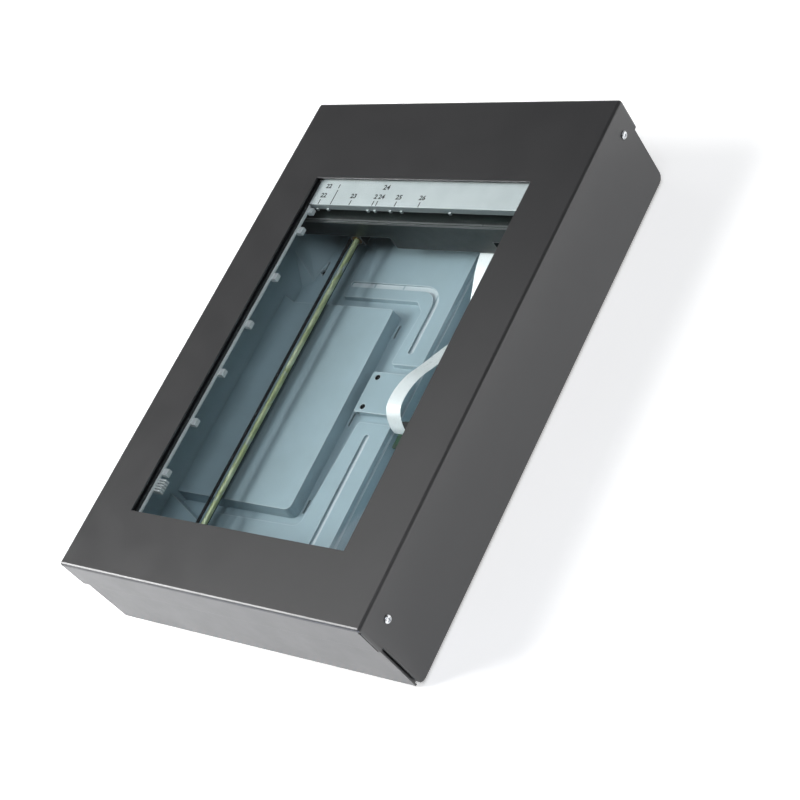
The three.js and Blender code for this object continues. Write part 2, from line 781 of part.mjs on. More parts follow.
// Moulded tray: side walls, a raised plateau, L-shaped shelves with grooves, a deep trough,
// and an underside hollowed to an even wall
const wallInside = 2 - trayHalfWidth; // bosses against the left wall start inside it
const plateauCorners = [
  [wallInside, plateauFront, 0],
  [plateauRight, plateauFront, 7],
  [plateauRight, plateauRear, 3],
  [wallInside + 29, plateauRear, 2],
  [wallInside + 11, plateauRear + 8, 0],
  [wallInside, plateauRear + 8, 0],
];
const rearShelfCorners = [
  [plateauRight + 23, plateauRear - 60.5, 3],
  [shelfRight, plateauRear - 60.5, 3],
  [shelfRight, plateauRear + rearShelfReach, 3],
  [rodX + 9, plateauRear + rearShelfReach, 3],
  [rodX - 9, plateauRear + rearShelfReach - 18, 3],
  [rodX - 9, plateauRear + 19, 3],
  [plateauRight + 16, plateauRear + 19, 4],
  [plateauRight + 28, plateauRear + 6, 6],
];
const frontShelfCorners = [
  [rodX - 31, idlerY - 10, 3],
  [shelfRight, idlerY - 10, 3],
  [shelfRight, plateauRear - frontShelfGap, 3],
  [plateauRight + 20, plateauRear - frontShelfGap, 3],
  [plateauRight + 13, plateauFront + 7, 20],
  [plateauRight + 13, plateauFront - 11, 9],
  [rodX - 31, plateauFront - 13, 3],
];
const rampCorners = [
  [wallInside, idlerY + 18, 0],
  [rodX - 19, idlerY + 18, 4],
  [rodX - 16, idlerY + 37, 10],
  [rodX - 26, idlerY + 53, 4],
  [wallInside + 9, plateauFront - 6, 2],
  [wallInside, plateauFront - 6, 0],
];
const plateRun = [plateFront + 2, plateFront + plateLength - 2];
const plateBaseCorners = rectangle(plateLeft + 2, shelfRight, ...plateRun, 3);
const troughRun = [56 - trayHalfLength, trayHalfLength - 68];
const troughCorners = rectangle(shelfRight + 3, troughRight, ...troughRun, 6);

// Sloping facet in the rear left corner, from the left wall down to the valley
function cornerFacet(lift) {
  const rear = carriageFront + 45;
  const foot = [
    [wallInside, rear - 100],
    [wallInside + 27, rear - 80],
    [wallInside + 35, rear - 27],
    [wallInside + 35, rear],
    [wallInside, rear],
  ];
  const ridge = [
    [wallInside, rear - 65],
    [wallInside + 7, rear - 59],
    [wallInside + 8, rear - 29],
    [wallInside + 8, rear],
    [wallInside, rear],
  ];
  const [lower, upper] = [foot, ridge].map((points) => points.map(([x, y]) => new THREE.Vector2(x, y)));
  return loft(lower, upper, valleyLevel - trayWall - lift, shelfLevel + cornerRise - lift);
}

// The curved groove in the rear shelf and the straight one in the front shelf
function grooves() {
  const middle = shelfRight / 2;
  const corner = new THREE.Vector2(middle + 1, plateauRear + 36);
  const bendSize = 22;
  const points = [new THREE.Vector2(rodX - 3, corner.y), new THREE.Vector2(corner.x - bendSize, corner.y)];
  const centre = new THREE.Vector2(corner.x - bendSize, corner.y - bendSize);
  for (let k = 1; k <= 6; k += 1) {
    points.push(points[1].clone().rotateAround(centre, (-Math.PI / 2) * (k / 6)));
  }
  points.push(new THREE.Vector2(corner.x, plateauRear - 43));
  const straight = [idlerY + 2, plateauRear - frontShelfGap - 17].map((y) => new THREE.Vector2(middle, y));
  return [points, straight].map((line) =>
    prismZ(band(line, grooveWidth, true), shelfLevel - grooveDepth, shelfLevel + 2),
  );
}

function scannerTray() {
  const sole = sheet + seat;
  const half = [trayHalfWidth, trayHalfLength];
  const mouth = half.map((size) => size - trayCavityInset);
  let tray = prismZ(shapeOf(rectangle(-half[0], half[0], -half[1], half[1], 4)), sole, trayTop);
  const cavity = rectangle(-mouth[0], mouth[0], -mouth[1], mouth[1], 12);
  tray = cut(tray, pocket(cavity, valleyLevel, trayTop + 0.01, trayDraft));
  const raised = [
    [plateauCorners, plateauLevel],
    [rearShelfCorners, shelfLevel],
    [frontShelfCorners, shelfLevel],
    [rampCorners, rampLevel],
    [plateBaseCorners, plateTop - plateThickness - seat],
  ];
  const low = valleyLevel - trayWall;
  for (const [corners, level] of raised) tray = join(tray, boss(corners, low, level, mouldDraft));
  tray = join(tray, cornerFacet(0));
  tray = cut(tray, pocket(troughCorners, troughLevel, shelfLevel + 2, mouldDraft));
  const ledge = [railX - railWidth / 2 - 2, railX + railWidth / 2 + 2];
  tray = join(tray, block(...ledge, -rodEnd - 1, ledgeRear, troughLevel - 1, ledgeTop));

  // Underside, one wall thickness below the upper surface
  const under = (size) => size - trayWall;
  let hollow = block(-under(half[0]), under(half[0]), -under(half[1]), under(half[1]), -1, low);
  for (const [corners, level] of raised.slice(0, 4)) {
    const inside = prismZ(shapeOf(corners, -trayWall), low - 1, level - trayWall);
    const limit = block(-under(half[0]), under(half[0]), -under(half[1]), under(half[1]), -1, trayTop);
    hollow = join(hollow, inside.intersect(limit));
  }
  const troughShell = prismZ(shapeOf(troughCorners, trayWall), troughLevel - trayWall, trayTop);
  hollow = cut(hollow, troughShell);
  const webPlaces = [rodX - 35, rodX + 25, plateauRight - 14, plateauRight + 36];
  const webs = webPlaces.map((x) => block(x, x + 2, -half[1], half[1], sole + 8, plateauLevel));
  hollow = cut(hollow, ...webs);
  tray = cut(tray, hollow, ...grooves());

  // Slots in the valley floor, the slot with a round end beside the plateau, and the socket window
  const slotX = plateauRight + 4;
  const [slotWide, slotLong] = slotSize;
  const slots = [plateauRear - 18, plateauRear - 129, plateauFront + 14].map((y) =>
    block(slotX, slotX + slotWide, y - slotLong / 2, y + slotLong / 2, 0, valleyLevel + 1),
  );
  const keyX = wallInside + 32;
  const keyY = carriageFront - 26;
  const keyhole = join(
    block(keyX, keyX + slotWide, keyY, keyY + 20, 0, shelfLevel),
    cylinder("z", 3, 0, shelfLevel, keyX - 1, keyY + 6, 12),
  );
  const socketRun = [trayHalfLength - 20, trayHalfLength + 1];
  const sockets = block(usbX - 12, jackX + 12, ...socketRun, boardTop - 4, boardTop + 14);
  const plateHoles = platePlaces().map(([x, y]) => cylinder("z", 1.6, plateTop - 12, plateTop, x, y, 8));
  tray = cut(tray, ...slots, keyhole, sockets, ...plateHoles);

  const screwHoles = bracketScrewPlaces().map(([x, y]) => cylinder("z", 1.6, 0, valleyLevel + 1, x, y, 8));
  tray = cut(tray, ...screwHoles);

  // Pegs for the idler's holder and pillars under the two circuit boards
  for (const [x, y] of holderPegPlaces()) {
    tray = join(tray, cylinder("z", pegRadius, shelfLevel - 1, shelfLevel + 3.4, x, y, 10));
  }
  for (const [x, y, z] of [...mainBoardPosts(), ...relayPosts()]) {
    tray = join(tray, cylinder("z", 3, z[0], z[1], x, y, 8));
  }
  return tray;
}

function platePlaces() {
  const x = plateLeft + plateHoleInset + 2;
  return [
    [x, plateFront + plateHoleInset],
    [x, plateFront + plateLength - plateHoleInset],
  ];
}

function servicePlate() {
  const shape = shapeOf(
    rectangle(plateLeft, plateLeft + plateWidth, plateFront, plateFront + plateLength, 2),
  );
  let plate = prismZ(shape, plateTop - plateThickness, plateTop);
  for (const [x, y] of platePlaces()) {
    plate = cut(plate, cylinder("z", 2, plateTop - 5, plateTop + 1, x, y, 10));
    plate = cut(plate, cylinder("z", 3.4, plateTop - 1, plateTop + 1, x, y, 12));
  }
  return plate;
}

function plateScrew() {
  const top = plateTop - 0.15;
  const profile = [
    [0, plateTop - 9],
    [1.3, plateTop - 9],
    [1.3, plateTop - 1 + seat],
    [3, plateTop - 1 + seat],
    [3, top],
    [1.2, top],
    [0, top - 0.6],
  ].map(([r, z]) => new THREE.Vector2(r, z));
  return solidOf(new THREE.LatheGeometry(profile, 12).rotateX(Math.PI / 2));
}

// Guide rod and its two holders
const rodEnd = trayHalfLength - trayCavityInset - trayDraft - seat;

function rodHolder(y, base) {
  const foot = 20;
  const neck = holderHead - 2;
  const profile = [
    [rodX - neck, base, 0],
    [rodX + foot, base, 1],
    [rodX + foot, base + 3, 1],
    [rodX + neck, base + 3, 4],
    [rodX + neck, rodZ - 6, 3],
    [rodX + holderHead, rodZ, 3],
    [rodX + 4, rodZ + holderHead, 4],
    [rodX - 4, rodZ + holderHead, 3],
    [rodX - neck, rodZ, 3],
  ];
  const body = prismY(shapeOf(profile), y - holderLength / 2, y + holderLength / 2);
  return cut(body, cylinder("y", rodRadius + seat, y - holderLength, y + holderLength, rodX, rodZ, 16));
}

function guideRod() {
  const profile = [
    [0, -rodEnd],
    [rodRadius - 0.7, -rodEnd],
    [rodRadius, -rodEnd + 0.7],
    [rodRadius, rodEnd - 0.7],
    [rodRadius - 0.7, rodEnd],
    [0, rodEnd],
  ].map(([r, y]) => new THREE.Vector2(r, y));
  return solidOf(new THREE.LatheGeometry(profile, 16));
}

// Boards behind the carriage and beside the plate
function mainBoardPosts() {
  const x = mainBoardWidth / 2 - 5;
  const z = [valleyLevel - 1, boardTop - boardThickness - seat];
  return [-x, x].flatMap((dx) => [
    [mainBoardX + dx, mainBoardRear - mainBoardLength + 6, z],
    [mainBoardX + dx, mainBoardRear - 6, z],
  ]);
}

const relayCorners = rectangle(
  cableX - relayMargin,
  leadX + leadWidth,
  relayRear - relayLength,
  relayRear,
  1,
);

function relayPosts() {
  const z = [troughLevel - 1, relayTop - boardThickness - seat];
  return [
    [cableX - relayMargin + 5, connectorFront, z],
    [leadX + leadWidth - 11.5, connectorFront, z],
  ];
}

place("scanner_tray", scannerTray(), trayPlastic);
place("service_plate", servicePlate(), trayPlastic);
platePlaces().forEach(([x, y], i) => place(`plate_screw_${i + 1}`, plateScrew(), blackSteel, [x, y, 0]));
place("guide_rod", guideRod(), rodSteel, [rodX, 0, rodZ]);
const holderY = rodEnd - holderLength / 2;
place("rod_holder_front", rodHolder(-holderY, valleyLevel + seat), darkPlastic);
place("rod_holder_rear", rodHolder(holderY, valleyLevel + seat), darkPlastic);
const railShape = shapeOf(rectangle(-railWidth / 2, railWidth / 2, -rodEnd + 1, ledgeRear - 1, 2));
place("glide_rail", prismZ(railShape, 0, railThickness), stainless, [railX, 0, ledgeTop + seat]);

// Carriage housing: a wide shallow box, a deeper middle for the lens, and a block for the rod
function carriageHousing() {
  const [front, back] = [carriageFront, carriageBack];
  const wall = carriageWall;
  const boxOutline = [
    [carriageLeft, carriageFloor, 2],
    [carriageRight - 14, carriageFloor, 3],
    [carriageRight, carriageFloor + 10, 3],
    [carriageRight, housingTop, 0],
    [carriageLeft, housingTop, 0],
  ];
  const openOutline = boxOutline.map(([x, z, r]) => [x, z === housingTop ? housingTop + 2 * wall : z, r]);
  const wellOutline = (inset, top) =>
    rectangle(wellLeft + inset, wellRight - inset, wellFloor + inset, top, inset ? 1 : 2);
  const rodBlock = block(rodX - blockHalf, rodX + blockHalf, front, back, rodBlockBottom, carriageFloor + 1);
  const solid = join(
    prismY(shapeOf(boxOutline), front, back),
    prismY(shapeOf(wellOutline(0, carriageFloor + 3)), front, back),
    rodBlock,
  );
  let housing = cut(
    solid,
    prismY(shapeOf(openOutline, -wall), front + wall, back - wall),
    prismY(shapeOf(wellOutline(wall, carriageFloor + 4)), front + wall, back - wall),
    cylinder("y", rodRadius + 1, front - 1, back + 1, rodX, rodZ, 16),
    cylinder("y", bushRadius + seat, front - 1, front + bushLength, rodX, rodZ, 16),
    cylinder("y", bushRadius + seat, back - bushLength, back + 1, rodX, rodZ, 16),
  );

  // Rests behind both ends of each mirror, posts for the sensor board, a cradle for the lens
  for (const size of Object.values(mirrorPlaces)) {
    for (const side of [-1, 1]) housing = join(housing, mirrorRest(size, side));
  }
  for (const x of [wellLeft + 12, wellRight - 16]) {
    housing = join(housing, cylinder("y", 2.5, sensorBoardY + seat, back - 1, x, lensZ, 10));
  }
  const cradleHalf = lensLength / 2 - 3;
  const cradleRun = [lensY - cradleHalf, lensY + cradleHalf];
  const cradle = block(-lensRadius - 3, lensRadius + 3, ...cradleRun, wellFloor + 1, lensZ - 3);
  housing = join(housing, cut(cradle, cylinder("y", lensRadius + seat, front, back, 0, lensZ, 16)));
  for (const step of [strutPitch, 2 * strutPitch]) {
    for (const x of [carriageLeft + step, carriageRight - step - 2]) {
      housing = join(housing, block(x, x + 2, front + 1, front + 10, carriageFloor + 1, housingTop - 3));
    }
  }

  // Slot in the well's floor for the ribbon
  const slotHalf = cableWidth / 2 + 1;
  const slot = [ribbonSlotY - 2.5, ribbonSlotY + 2.5, wellFloor - 1, wellFloor + wall + 1];
  return cut(housing, block(cableX - slotHalf, cableX + slotHalf, ...slot));
}

// A pad behind a mirror's back, joined to the wall or floor beyond it
function mirrorRest({ y, z, turn, half }, side) {
  const back = mirrorThickness / 2 + seat;
  const reach = mirrorWidth / 2 - 1;
  const [cos, sin] = [Math.cos(turn), Math.sin(turn)];
  const corner = (out, along) => [y + out * cos - along * sin, z + out * sin + along * cos, 0];
  const far = -back - 3;
  const pad = [corner(-back, -reach), corner(-back, reach), corner(far, reach), corner(far, -reach)];
  const x = [side * half, side * (half - 6)].sort((a, b) => a - b);
  const farY = (pad[2][0] + pad[3][0]) / 2;
  const farZ = (pad[2][1] + pad[3][1]) / 2;
  let support = block(...x, farY - 2.5, farY + 2.5, carriageFloor + 1, farZ + 1);
  if (cos < 0) support = block(...x, farY - 1, carriageBack - 1, farZ - 3, farZ + 3);
  if (cos > 0.9) support = block(...x, carriageFront + 1, farY + 1, farZ - 3, farZ + 3);
  return join(prismX(shapeOf(pad), ...x), support);
}

// A mirror faces along (cos turn, sin turn) in the YZ plane
function mirror({ y, z, turn, half }) {
  const glass = new THREE.BoxGeometry(2 * half, mirrorThickness, mirrorWidth);
  return solidOf(glass.rotateX(turn).translate(0, y, z));
}

// Lid with the scan slit and three low rims along its front edge
function carriageLid() {
  const edge = rectangle(carriageLeft, carriageRight, carriageFront, carriageBack, 2);
  const plate = prismZ(shapeOf(edge), lidBottom, carriageTop);
  const slitRun = [slitY - slitWidth / 2, slitY + slitWidth / 2];
  const slit = block(-lampHalf, lampHalf, ...slitRun, lidBottom - 1, carriageTop + 1);
  const rims = [
    [carriageLeft + 6, wellLeft - 1],
    [wellLeft + 1, wellRight - 1],
    [wellRight + 1, carriageRight - 8],
  ].map((x) => block(...x, carriageFront + 1.5, carriageFront + 3, lidBottom, carriageTop + 1));
  return cut(join(plate, ...rims), slit);
}

// Bent reflector behind and below the lamp, open towards the slit
function lampReflector() {
  const near = lampRadius + seat;
  const far = near + reflectorSheet;
  const profile = [
    [lampY - far, lampZ - far, 2],
    [lampY + far, lampZ - far, 2],
    [lampY + far, lampZ, 0],
    [lampY + near, lampZ, 0],
    [lampY + near, lampZ - near, 1],
    [lampY - near, lampZ - near, 1],
    [lampY - near, lidBottom - seat, 0],
    [lampY - far, lidBottom - seat, 0],
  ];
  return prismX(shapeOf(profile, 0, 3), -lampHalf, lampHalf);
}

// Block that holds one end of the lamp, standing on the carriage's floor
function lampHolder(side) {
  const x = [side * (lampHalf + seat), side * (lampHalf + 8)].sort((a, b) => a - b);
  const z = [carriageFloor + carriageWall + seat, lidBottom - seat];
  const hole = cylinder("x", lampRadius + seat, x[0] - 1, x[1] + 1, lampY, lampZ, 12);
  return cut(block(...x, lampY - 4, lampY + 4, ...z), hole);
}

function rodBush(y0, y1) {
  const tube = cylinder("y", bushRadius, y0, y1, rodX, rodZ, 16);
  return cut(tube, cylinder("y", rodRadius + seat, y0 - 1, y1 + 1, rodX, rodZ, 16));
}

// Turned solids: a profile of [radius, height] about the Z axis
const turned = (profile, sides) => {
  const points = profile.map(([r, h]) => new THREE.Vector2(r, h));
  return new THREE.LatheGeometry(points, sides);
};

function lensBarrel() {
  const half = lensLength / 2;
  const profile = [
    [0, -half + 2],
    [lensRadius - 3, -half],
    [lensRadius - 1, -half],
    [lensRadius - 1, -half + 3],
    [lensRadius, -half + 4],
    [lensRadius, half - 3],
    [lensRadius - 2, half - 3],
    [lensRadius - 2, half],
    [lensRadius - 4, half],
    [0, half - 1.5],
  ];
  return solidOf(turned(profile, 16));
}

// Sensor board: the board with its long sensor, a chip and the ribbon's connector
function sensorBoard() {
  const face = sensorBoardY - boardThickness;
  const board = block(wellLeft + 4.5, wellRight - 4.5, face, sensorBoardY, lensZ - 7, lensZ + 8);
  const sensor = block(-28, 28, face - 3, face + 0.1, lensZ - 4, lensZ + 4);
  const chip = block(38, 50, face - 1.6, face + 0.1, lensZ - 5, lensZ + 5);
  const plugRun = [ribbonSlotY - 1.5, face + 0.1];
  const connector = block(cableX - 11, cableX + 11, ...plugRun, ribbonTop + seat, ribbonTop + 4);
  return join(board, sensor, chip, connector);
}

// Shoe under the carriage's free end, resting on the glide rail
function slideShoe() {
  const top = carriageFloor - seat;
  const bottom = ledgeTop + seat + railThickness + seat;
  const half = railWidth / 2;
  const neck = 2.5;
  const y = (carriageFront + carriageBack) / 2;
  const profile = [
    [railX - half, bottom, 0],
    [railX + half, bottom, 0],
    [railX + half, bottom + 4, 2],
    [railX + neck, bottom + 7, 2],
    [railX + neck, top, 0],
    [railX - neck, top, 0],
    [railX - neck, bottom + 7, 2],
    [railX - half, bottom + 4, 2],
  ];
  const side = [
    [y - 11, bottom, 4],
    [y + 11, bottom, 4],
    [y + 16, bottom + 3, 1],
    [y + 16, top, 0],
    [y - 16, top, 0],
    [y - 16, bottom + 3, 1],
  ];
  const post = prismY(shapeOf(profile), y - 16, y + 16);
  return post.intersect(prismX(shapeOf(side), railX - railWidth, railX + railWidth));
}

// Clamp that grips the belt's upper run beside the rod block
function beltClamp() {
  const run = beltZ + beltInner + beltThickness / 2;
  const half = beltThickness / 2 + seat;
  const jaw = 2.4;
  const x = [beltX - beltWidth / 2 - 3, rodX - blockHalf - seat];
  const y = (carriageFront + carriageBack) / 2;
  const body = block(...x, y - 10, y + 10, run - half - jaw, run + half + jaw);
  const way = block(beltX - beltWidth / 2 - seat, x[1] + 1, y - 11, y + 11, run - half, run + half);
  const neck = block(x[0], x[1], y - 6, y + 6, run + half + jaw - 0.5, carriageFloor - seat);
  return join(cut(body, way), neck);
}

const carriage = new THREE.Group();
caseGroup.add(carriage);
const onCarriage = (name, solid, material, position) => place(name, solid, material, position, carriage);
onCarriage("carriage_housing", carriageHousing(), darkPlastic);
onCarriage("carriage_lid", carriageLid(), darkPlastic);
for (const [name, size] of Object.entries(mirrorPlaces)) {
  onCarriage(`${name}_mirror`, mirror(size), mirrorCoat);
}
const lampEnd = lampHalf + 7;
onCarriage("lamp_tube", cylinder("x", lampRadius, -lampEnd, lampEnd, lampY, lampZ, 12), lampGlass);
onCarriage("lamp_reflector", lampReflector(), stainless);
onCarriage("lamp_holder_left", lampHolder(-1), whitePlastic);
onCarriage("lamp_holder_right", lampHolder(1), whitePlastic);
onCarriage("lens_barrel", lensBarrel(), blackPlastic, [0, lensY, lensZ]);
onCarriage("sensor_board", sensorBoard(), boardGreen);
onCarriage("rod_bush_front", rodBush(carriageFront, carriageFront + bushLength - seat), bronze);
onCarriage("rod_bush_rear", rodBush(carriageBack - bushLength + seat, carriageBack), bronze);
onCarriage("slide_shoe", slideShoe(), acetal);
onCarriage("belt_clamp", beltClamp(), blackPlastic);

// Toothed belt pulley with a flange at each end, starting at zero along +X
function beltPulley() {
  const tip = beltInner - seat;
  const teeth = prismX(gearShape(pulleyTeeth, (2 * tip) / (pulleyTeeth + 1.8), 0), 0, pulleyLength);
  const rim = pulleyRadius + flangeLift;
  const overlap = 0.01;
  return join(
    teeth,
    cylinder("x", rim, -flangeThickness, overlap, 0, 0, 16),
    cylinder("x", rim, pulleyLength - overlap, pulleyLength + flangeThickness, 0, 0, 16),
  );
}

const pinBore = () => cylinder("x", pinRadius + seat, -wheelRadius, wheelRadius, 0, 0, 10);
const idlerPulley = () => cut(beltPulley(), pinBore());

// The driven wheel is a spur gear with round lightening holes, moulded in one with the belt pulley
function driveWheel() {
  const start = -flangeThickness - gearWidth;
  let gear = prismX(gearShape(wheelTeeth, gearModule, toothPlay), start, -flangeThickness + 0.01);
  for (let i = 0; i < holeCount; i += 1) {
    const angle = (2 * Math.PI * i) / holeCount;
    const place = [holeCircle * Math.cos(angle), holeCircle * Math.sin(angle)];
    gear = cut(gear, cylinder("x", holeRadius, start - 1, 0, ...place, 8));
  }
  return cut(join(gear, beltPulley()), pinBore());
}

function driveBelt() {
  const track = (r) => {
    const shape = new THREE.Shape();
    shape.absarc(drivePulleyY, beltZ, r, -Math.PI / 2, Math.PI / 2, false);
    shape.absarc(idlerY, beltZ, r, Math.PI / 2, 1.5 * Math.PI, false);
    return shape;
  };
  const x = [beltX - beltWidth / 2, beltX + beltWidth / 2];
  const inside = prismX(track(beltInner), x[0] - 1, x[1] + 1);
  return cut(prismX(track(beltInner + beltThickness), ...x), inside);
}

// Stepper motor: a can with an eared flange, a bearing boss at each end and a lead socket below
function stepperMotor() {
  const face = bracketX - seat;
  const ears = rectangle(motorY - 4, motorY + 4, motorZ - earReach, motorZ + earReach, 3.5);
  const socket = [motorLeadY - 4, motorLeadY + 4, motorZ - motorRadius - 3, motorZ - motorRadius + 5];
  const solid = join(
    cylinder("x", motorRadius, face - motorLength, face, motorY, motorZ, 24),
    prismX(shapeOf(ears), face - 1.2, face),
    cylinder("x", 5, face - motorLength - 1.5, face - motorLength + 1, motorY, motorZ, 12),
    cylinder("x", bossRadius, face - 1, bracketX + 1, motorY, motorZ, 12),
    block(motorLeadX - 5, motorLeadX + 5, ...socket),
  );
  return cut(solid, cylinder("x", shaftRadius + seat, face - 8, face + 4, motorY, motorZ, 12));
}

// Bracket bent from sheet: a wall for the motor and the wheel's pin, and a foot on the tray
function motorBracket() {
  const z0 = valleyLevel + seat;
  const y = [drivePulleyY - 9, mainBoardRear - 1];
  const wall = rectangle(...y, z0, motorZ + earReach + 2, 4);
  wall[0][2] = 0;
  wall[1][2] = 0;
  const through = [bracketX - 1, bracketX + bracketSheet + 1];
  const bracket = join(
    prismX(shapeOf(wall), bracketX, bracketX + bracketSheet),
    block(bracketX - bracketFoot, bracketX + 1, ...y, z0, z0 + bracketSheet),
  );
  return cut(
    bracket,
    cylinder("x", bossRadius + seat, ...through, motorY, motorZ, 14),
    cylinder("x", pinRadius + seat, ...through, drivePulleyY, beltZ, 10),
    block(...through, motorLeadY - 4, motorLeadY + 4, z0 + bracketSheet, z0 + 6),
    ...bracketScrewPlaces().map(([x, sy]) => cylinder("z", 1.8, z0 - 1, z0 + 3, x, sy, 12)),
  );
}

function bracketScrewPlaces() {
  const x = bracketX - 13;
  return [
    [x, drivePulleyY - 4],
    [x, mainBoardRear - 7],
  ];
}

// Pan-head screw along Z with its seat at zero
function footScrew() {
  const profile = [
    [0, -4],
    [1.3, -4],
    [1.3, seat],
    [3, seat],
    [2.6, 1.8],
    [1, 2.1],
    [1, 1.4],
    [0, 1.4],
  ];
  return solidOf(turned(profile, 10).rotateX(Math.PI / 2));
}

// Pin along X with a head before its start and a clip groove near its far end
function pulleyPin(start, end) {
  const profile = [
    [0, start - pinHead],
    [pinRadius + 1.3, start - pinHead],
    [pinRadius + 1.3, start],
    [pinRadius, start],
    [pinRadius, end - 0.8],
    [pinRadius - 0.5, end - 0.8],
    [pinRadius - 0.5, end - 0.4],
    [pinRadius, end - 0.4],
    [pinRadius, end],
    [0, end],
  ];
  return solidOf(turned(profile, 10).rotateZ(-Math.PI / 2));
}

// Pinion with a collar towards the motor
function motorPinion() {
  const gear = prismX(gearShape(pinionTeeth, gearModule, toothPlay), 0, gearWidth);
  const collar = cylinder("x", pinionRadius - 1.2, -bracketGap + seat, 0.01, 0, 0, 16);
  return cut(join(gear, collar), cylinder("x", shaftRadius + seat / 2, -gearWidth, 2 * gearWidth, 0, 0, 12));
}

// Idler holder: two cheeks on a foot, slotted so that the pin can slide, and a socket for the leaf
function idlerHolder() {
  const z0 = shelfLevel + seat;
  const y = [idlerY - 9, idlerY + 9];
  const cheeks = [cheekLeft, cheekRight].map((x) => block(x, x + cheekThickness, ...y, z0, beltZ + 5));
  const foot = block(cheekLeft - holderTab, cheekRight + cheekThickness, ...y, z0, z0 + 2);
  const leafX = [cheekLeft - leafWidth - 1, cheekLeft + 0.5];
  const socketTop = z0 + 7;
  const socket = cut(
    block(...leafX, leafRoot - 1.6, leafRoot + 1.6, z0, socketTop),
    block(leafX[0] - 1, leafX[1], leafRoot - leafGap, leafRoot + leafGap, z0 + 2, socketTop + 1),
  );
  const half = pinRadius + seat;
  const slotRun = [idlerY - 3.5, idlerY + half + 1];
  const slot = block(cheekLeft - 1, cheekRight + 2, ...slotRun, beltZ - half, beltZ + half);
  const holes = holderPegPlaces().map(([x, py]) =>
    cylinder("z", pegRadius + seat, z0 - 1, z0 + 3, x, py, 10),
  );
  return cut(join(...cheeks, foot, socket), slot, ...holes);
}

function holderPegPlaces() {
  const x = cheekLeft - holderTab / 2;
  return [
    [x, idlerY - 6],
    [x, idlerY],
  ];
}

// Leaf spring that stands in the holder's foot and pushes the idler's pin to the front
function tensionLeaf() {
  const z0 = shelfLevel + seat + 2 + seat;
  const touch = idlerY + pinRadius + seat + leafThickness / 2;
  const points = [
    [leafRoot, z0],
    [leafRoot, z0 + 5],
    [leafRoot - 1, beltZ - 8],
    [touch, beltZ],
    [touch + 1, beltZ + 4],
  ];
  const x = [cheekLeft - leafWidth - seat, cheekLeft - seat];
  return prismX(band(smoothLine(points, 16), leafThickness), ...x);
}

place("stepper_motor", stepperMotor(), zinc);
place("motor_bracket", motorBracket(), stainless);
bracketScrewPlaces().forEach(([x, y], i) => {
  place(`bracket_screw_${i + 1}`, footScrew(), zinc, [x, y, valleyLevel + seat + bracketSheet]);
});
const shaftRun = [bracketX - 7, wheelX + 1];
place("motor_shaft", cylinder("x", shaftRadius, ...shaftRun, 0, 0, 12), stainless, [0, motorY, motorZ]);
const pinion = place("motor_pinion", motorPinion(), brass, [wheelX - gearWidth, motorY, motorZ]);
pinion.rotation.x = motorAngle + Math.PI + Math.PI / pinionTeeth;
const wheel = place("drive_wheel", driveWheel(), acetal, [pulleyStart, drivePulleyY, beltZ]);
wheel.rotation.x = motorAngle;
const pinEnd = pulleyStart + pulleyLength + flangeThickness + 1.2;
place("drive_pin", pulleyPin(bracketX - seat, pinEnd), stainless, [0, drivePulleyY, beltZ]);
place("drive_belt", driveBelt(), beltRubber);
place("idler_pulley", idlerPulley(), acetal, [pulleyStart, idlerY, beltZ]);
const idlerPinRun = [cheekLeft - leafWidth - 2 * seat, cheekRight + cheekThickness];
place("idler_pin", pulleyPin(...idlerPinRun), stainless, [0, idlerY, beltZ]);
place("idler_holder", idlerHolder(), darkPlastic);
place("tension_leaf", tensionLeaf(), stainless);

// Main board with a tongue under its two sockets, and the parts soldered to it
function mainBoard() {
  const bottom = boardTop - boardThickness;
  const x = [mainBoardX - mainBoardWidth / 2, mainBoardX + mainBoardWidth / 2];
  const front = mainBoardRear - mainBoardLength;
  const corners = [
    [x[0], front, 2],
    [x[1], front, 2],
    [x[1], mainBoardRear, 1],
    [jackX + 9, mainBoardRear, 0],
    [jackX + 9, tongueRear, 1],
    [usbX - 9, tongueRear, 1],
    [usbX - 9, mainBoardRear, 0],
    [x[0], mainBoardRear, 2],
  ];
  const foot = boardTop - 0.1;
  const onTop = (cx, cy, width, length, height) => {
    const run = [cy - length / 2, cy + length / 2];
    return block(cx - width / 2, cx + width / 2, ...run, foot, boardTop + height);
  };
  const can = (cx, cy) => cylinder("z", 4, foot, boardTop + 11, cx, cy, 10);
  return join(
    prismZ(shapeOf(corners), bottom, boardTop),
    onTop(x[0] + 42, front + 23, 20, 20, 2.4),
    onTop(x[0] + 76, front + 24, 14, 14, 2),
    onTop(x[0] + 60, front + 12, 11, 4.5, 3.4),
    onTop(x[1] - 38, front + 26, 9, 12, 1.8),
    onTop(x[0] + 3, motorLeadY, 6, 12, 6),
    onTop(leadX, front + 3, leadWidth + 3, 6, 5),
    can(x[0] + 18, front + 34),
    can(x[1] - 12, front + 31),
    can(x[1] - 24, front + 33),
  );
}

// Small board over the trough that joins the ribbon to the lead
function relayBoard() {
  const board = prismZ(shapeOf(relayCorners), relayTop - boardThickness, relayTop);
  const header = [leadX - leadWidth / 2 - 1.5, leadX + leadWidth / 2 + 1.5, relayRear - 8, relayRear];
  return join(board, block(...header, relayTop - 0.1, relayTop + 5));
}

// The ribbon's connector: a housing with a latch bar, open to the front
function cableConnector() {
  const half = cableWidth / 2 + 3;
  const [left, right, front] = [cableX - half, cableX + half, connectorFront];
  const body = block(left, right, front, front + 9, relayTop + seat, ribbonEnd + 4);
  const latch = block(left - 1, right + 1, front + 1, front + 3.4, ribbonEnd + 1, ribbonEnd + 5);
  const mouth = cableThickness / 2 + seat;
  const slot = block(left + 2.4, right - 2.4, front - 1, front + 5, ribbonEnd - mouth, ribbonEnd + mouth);
  return cut(join(body, latch), slot);
}

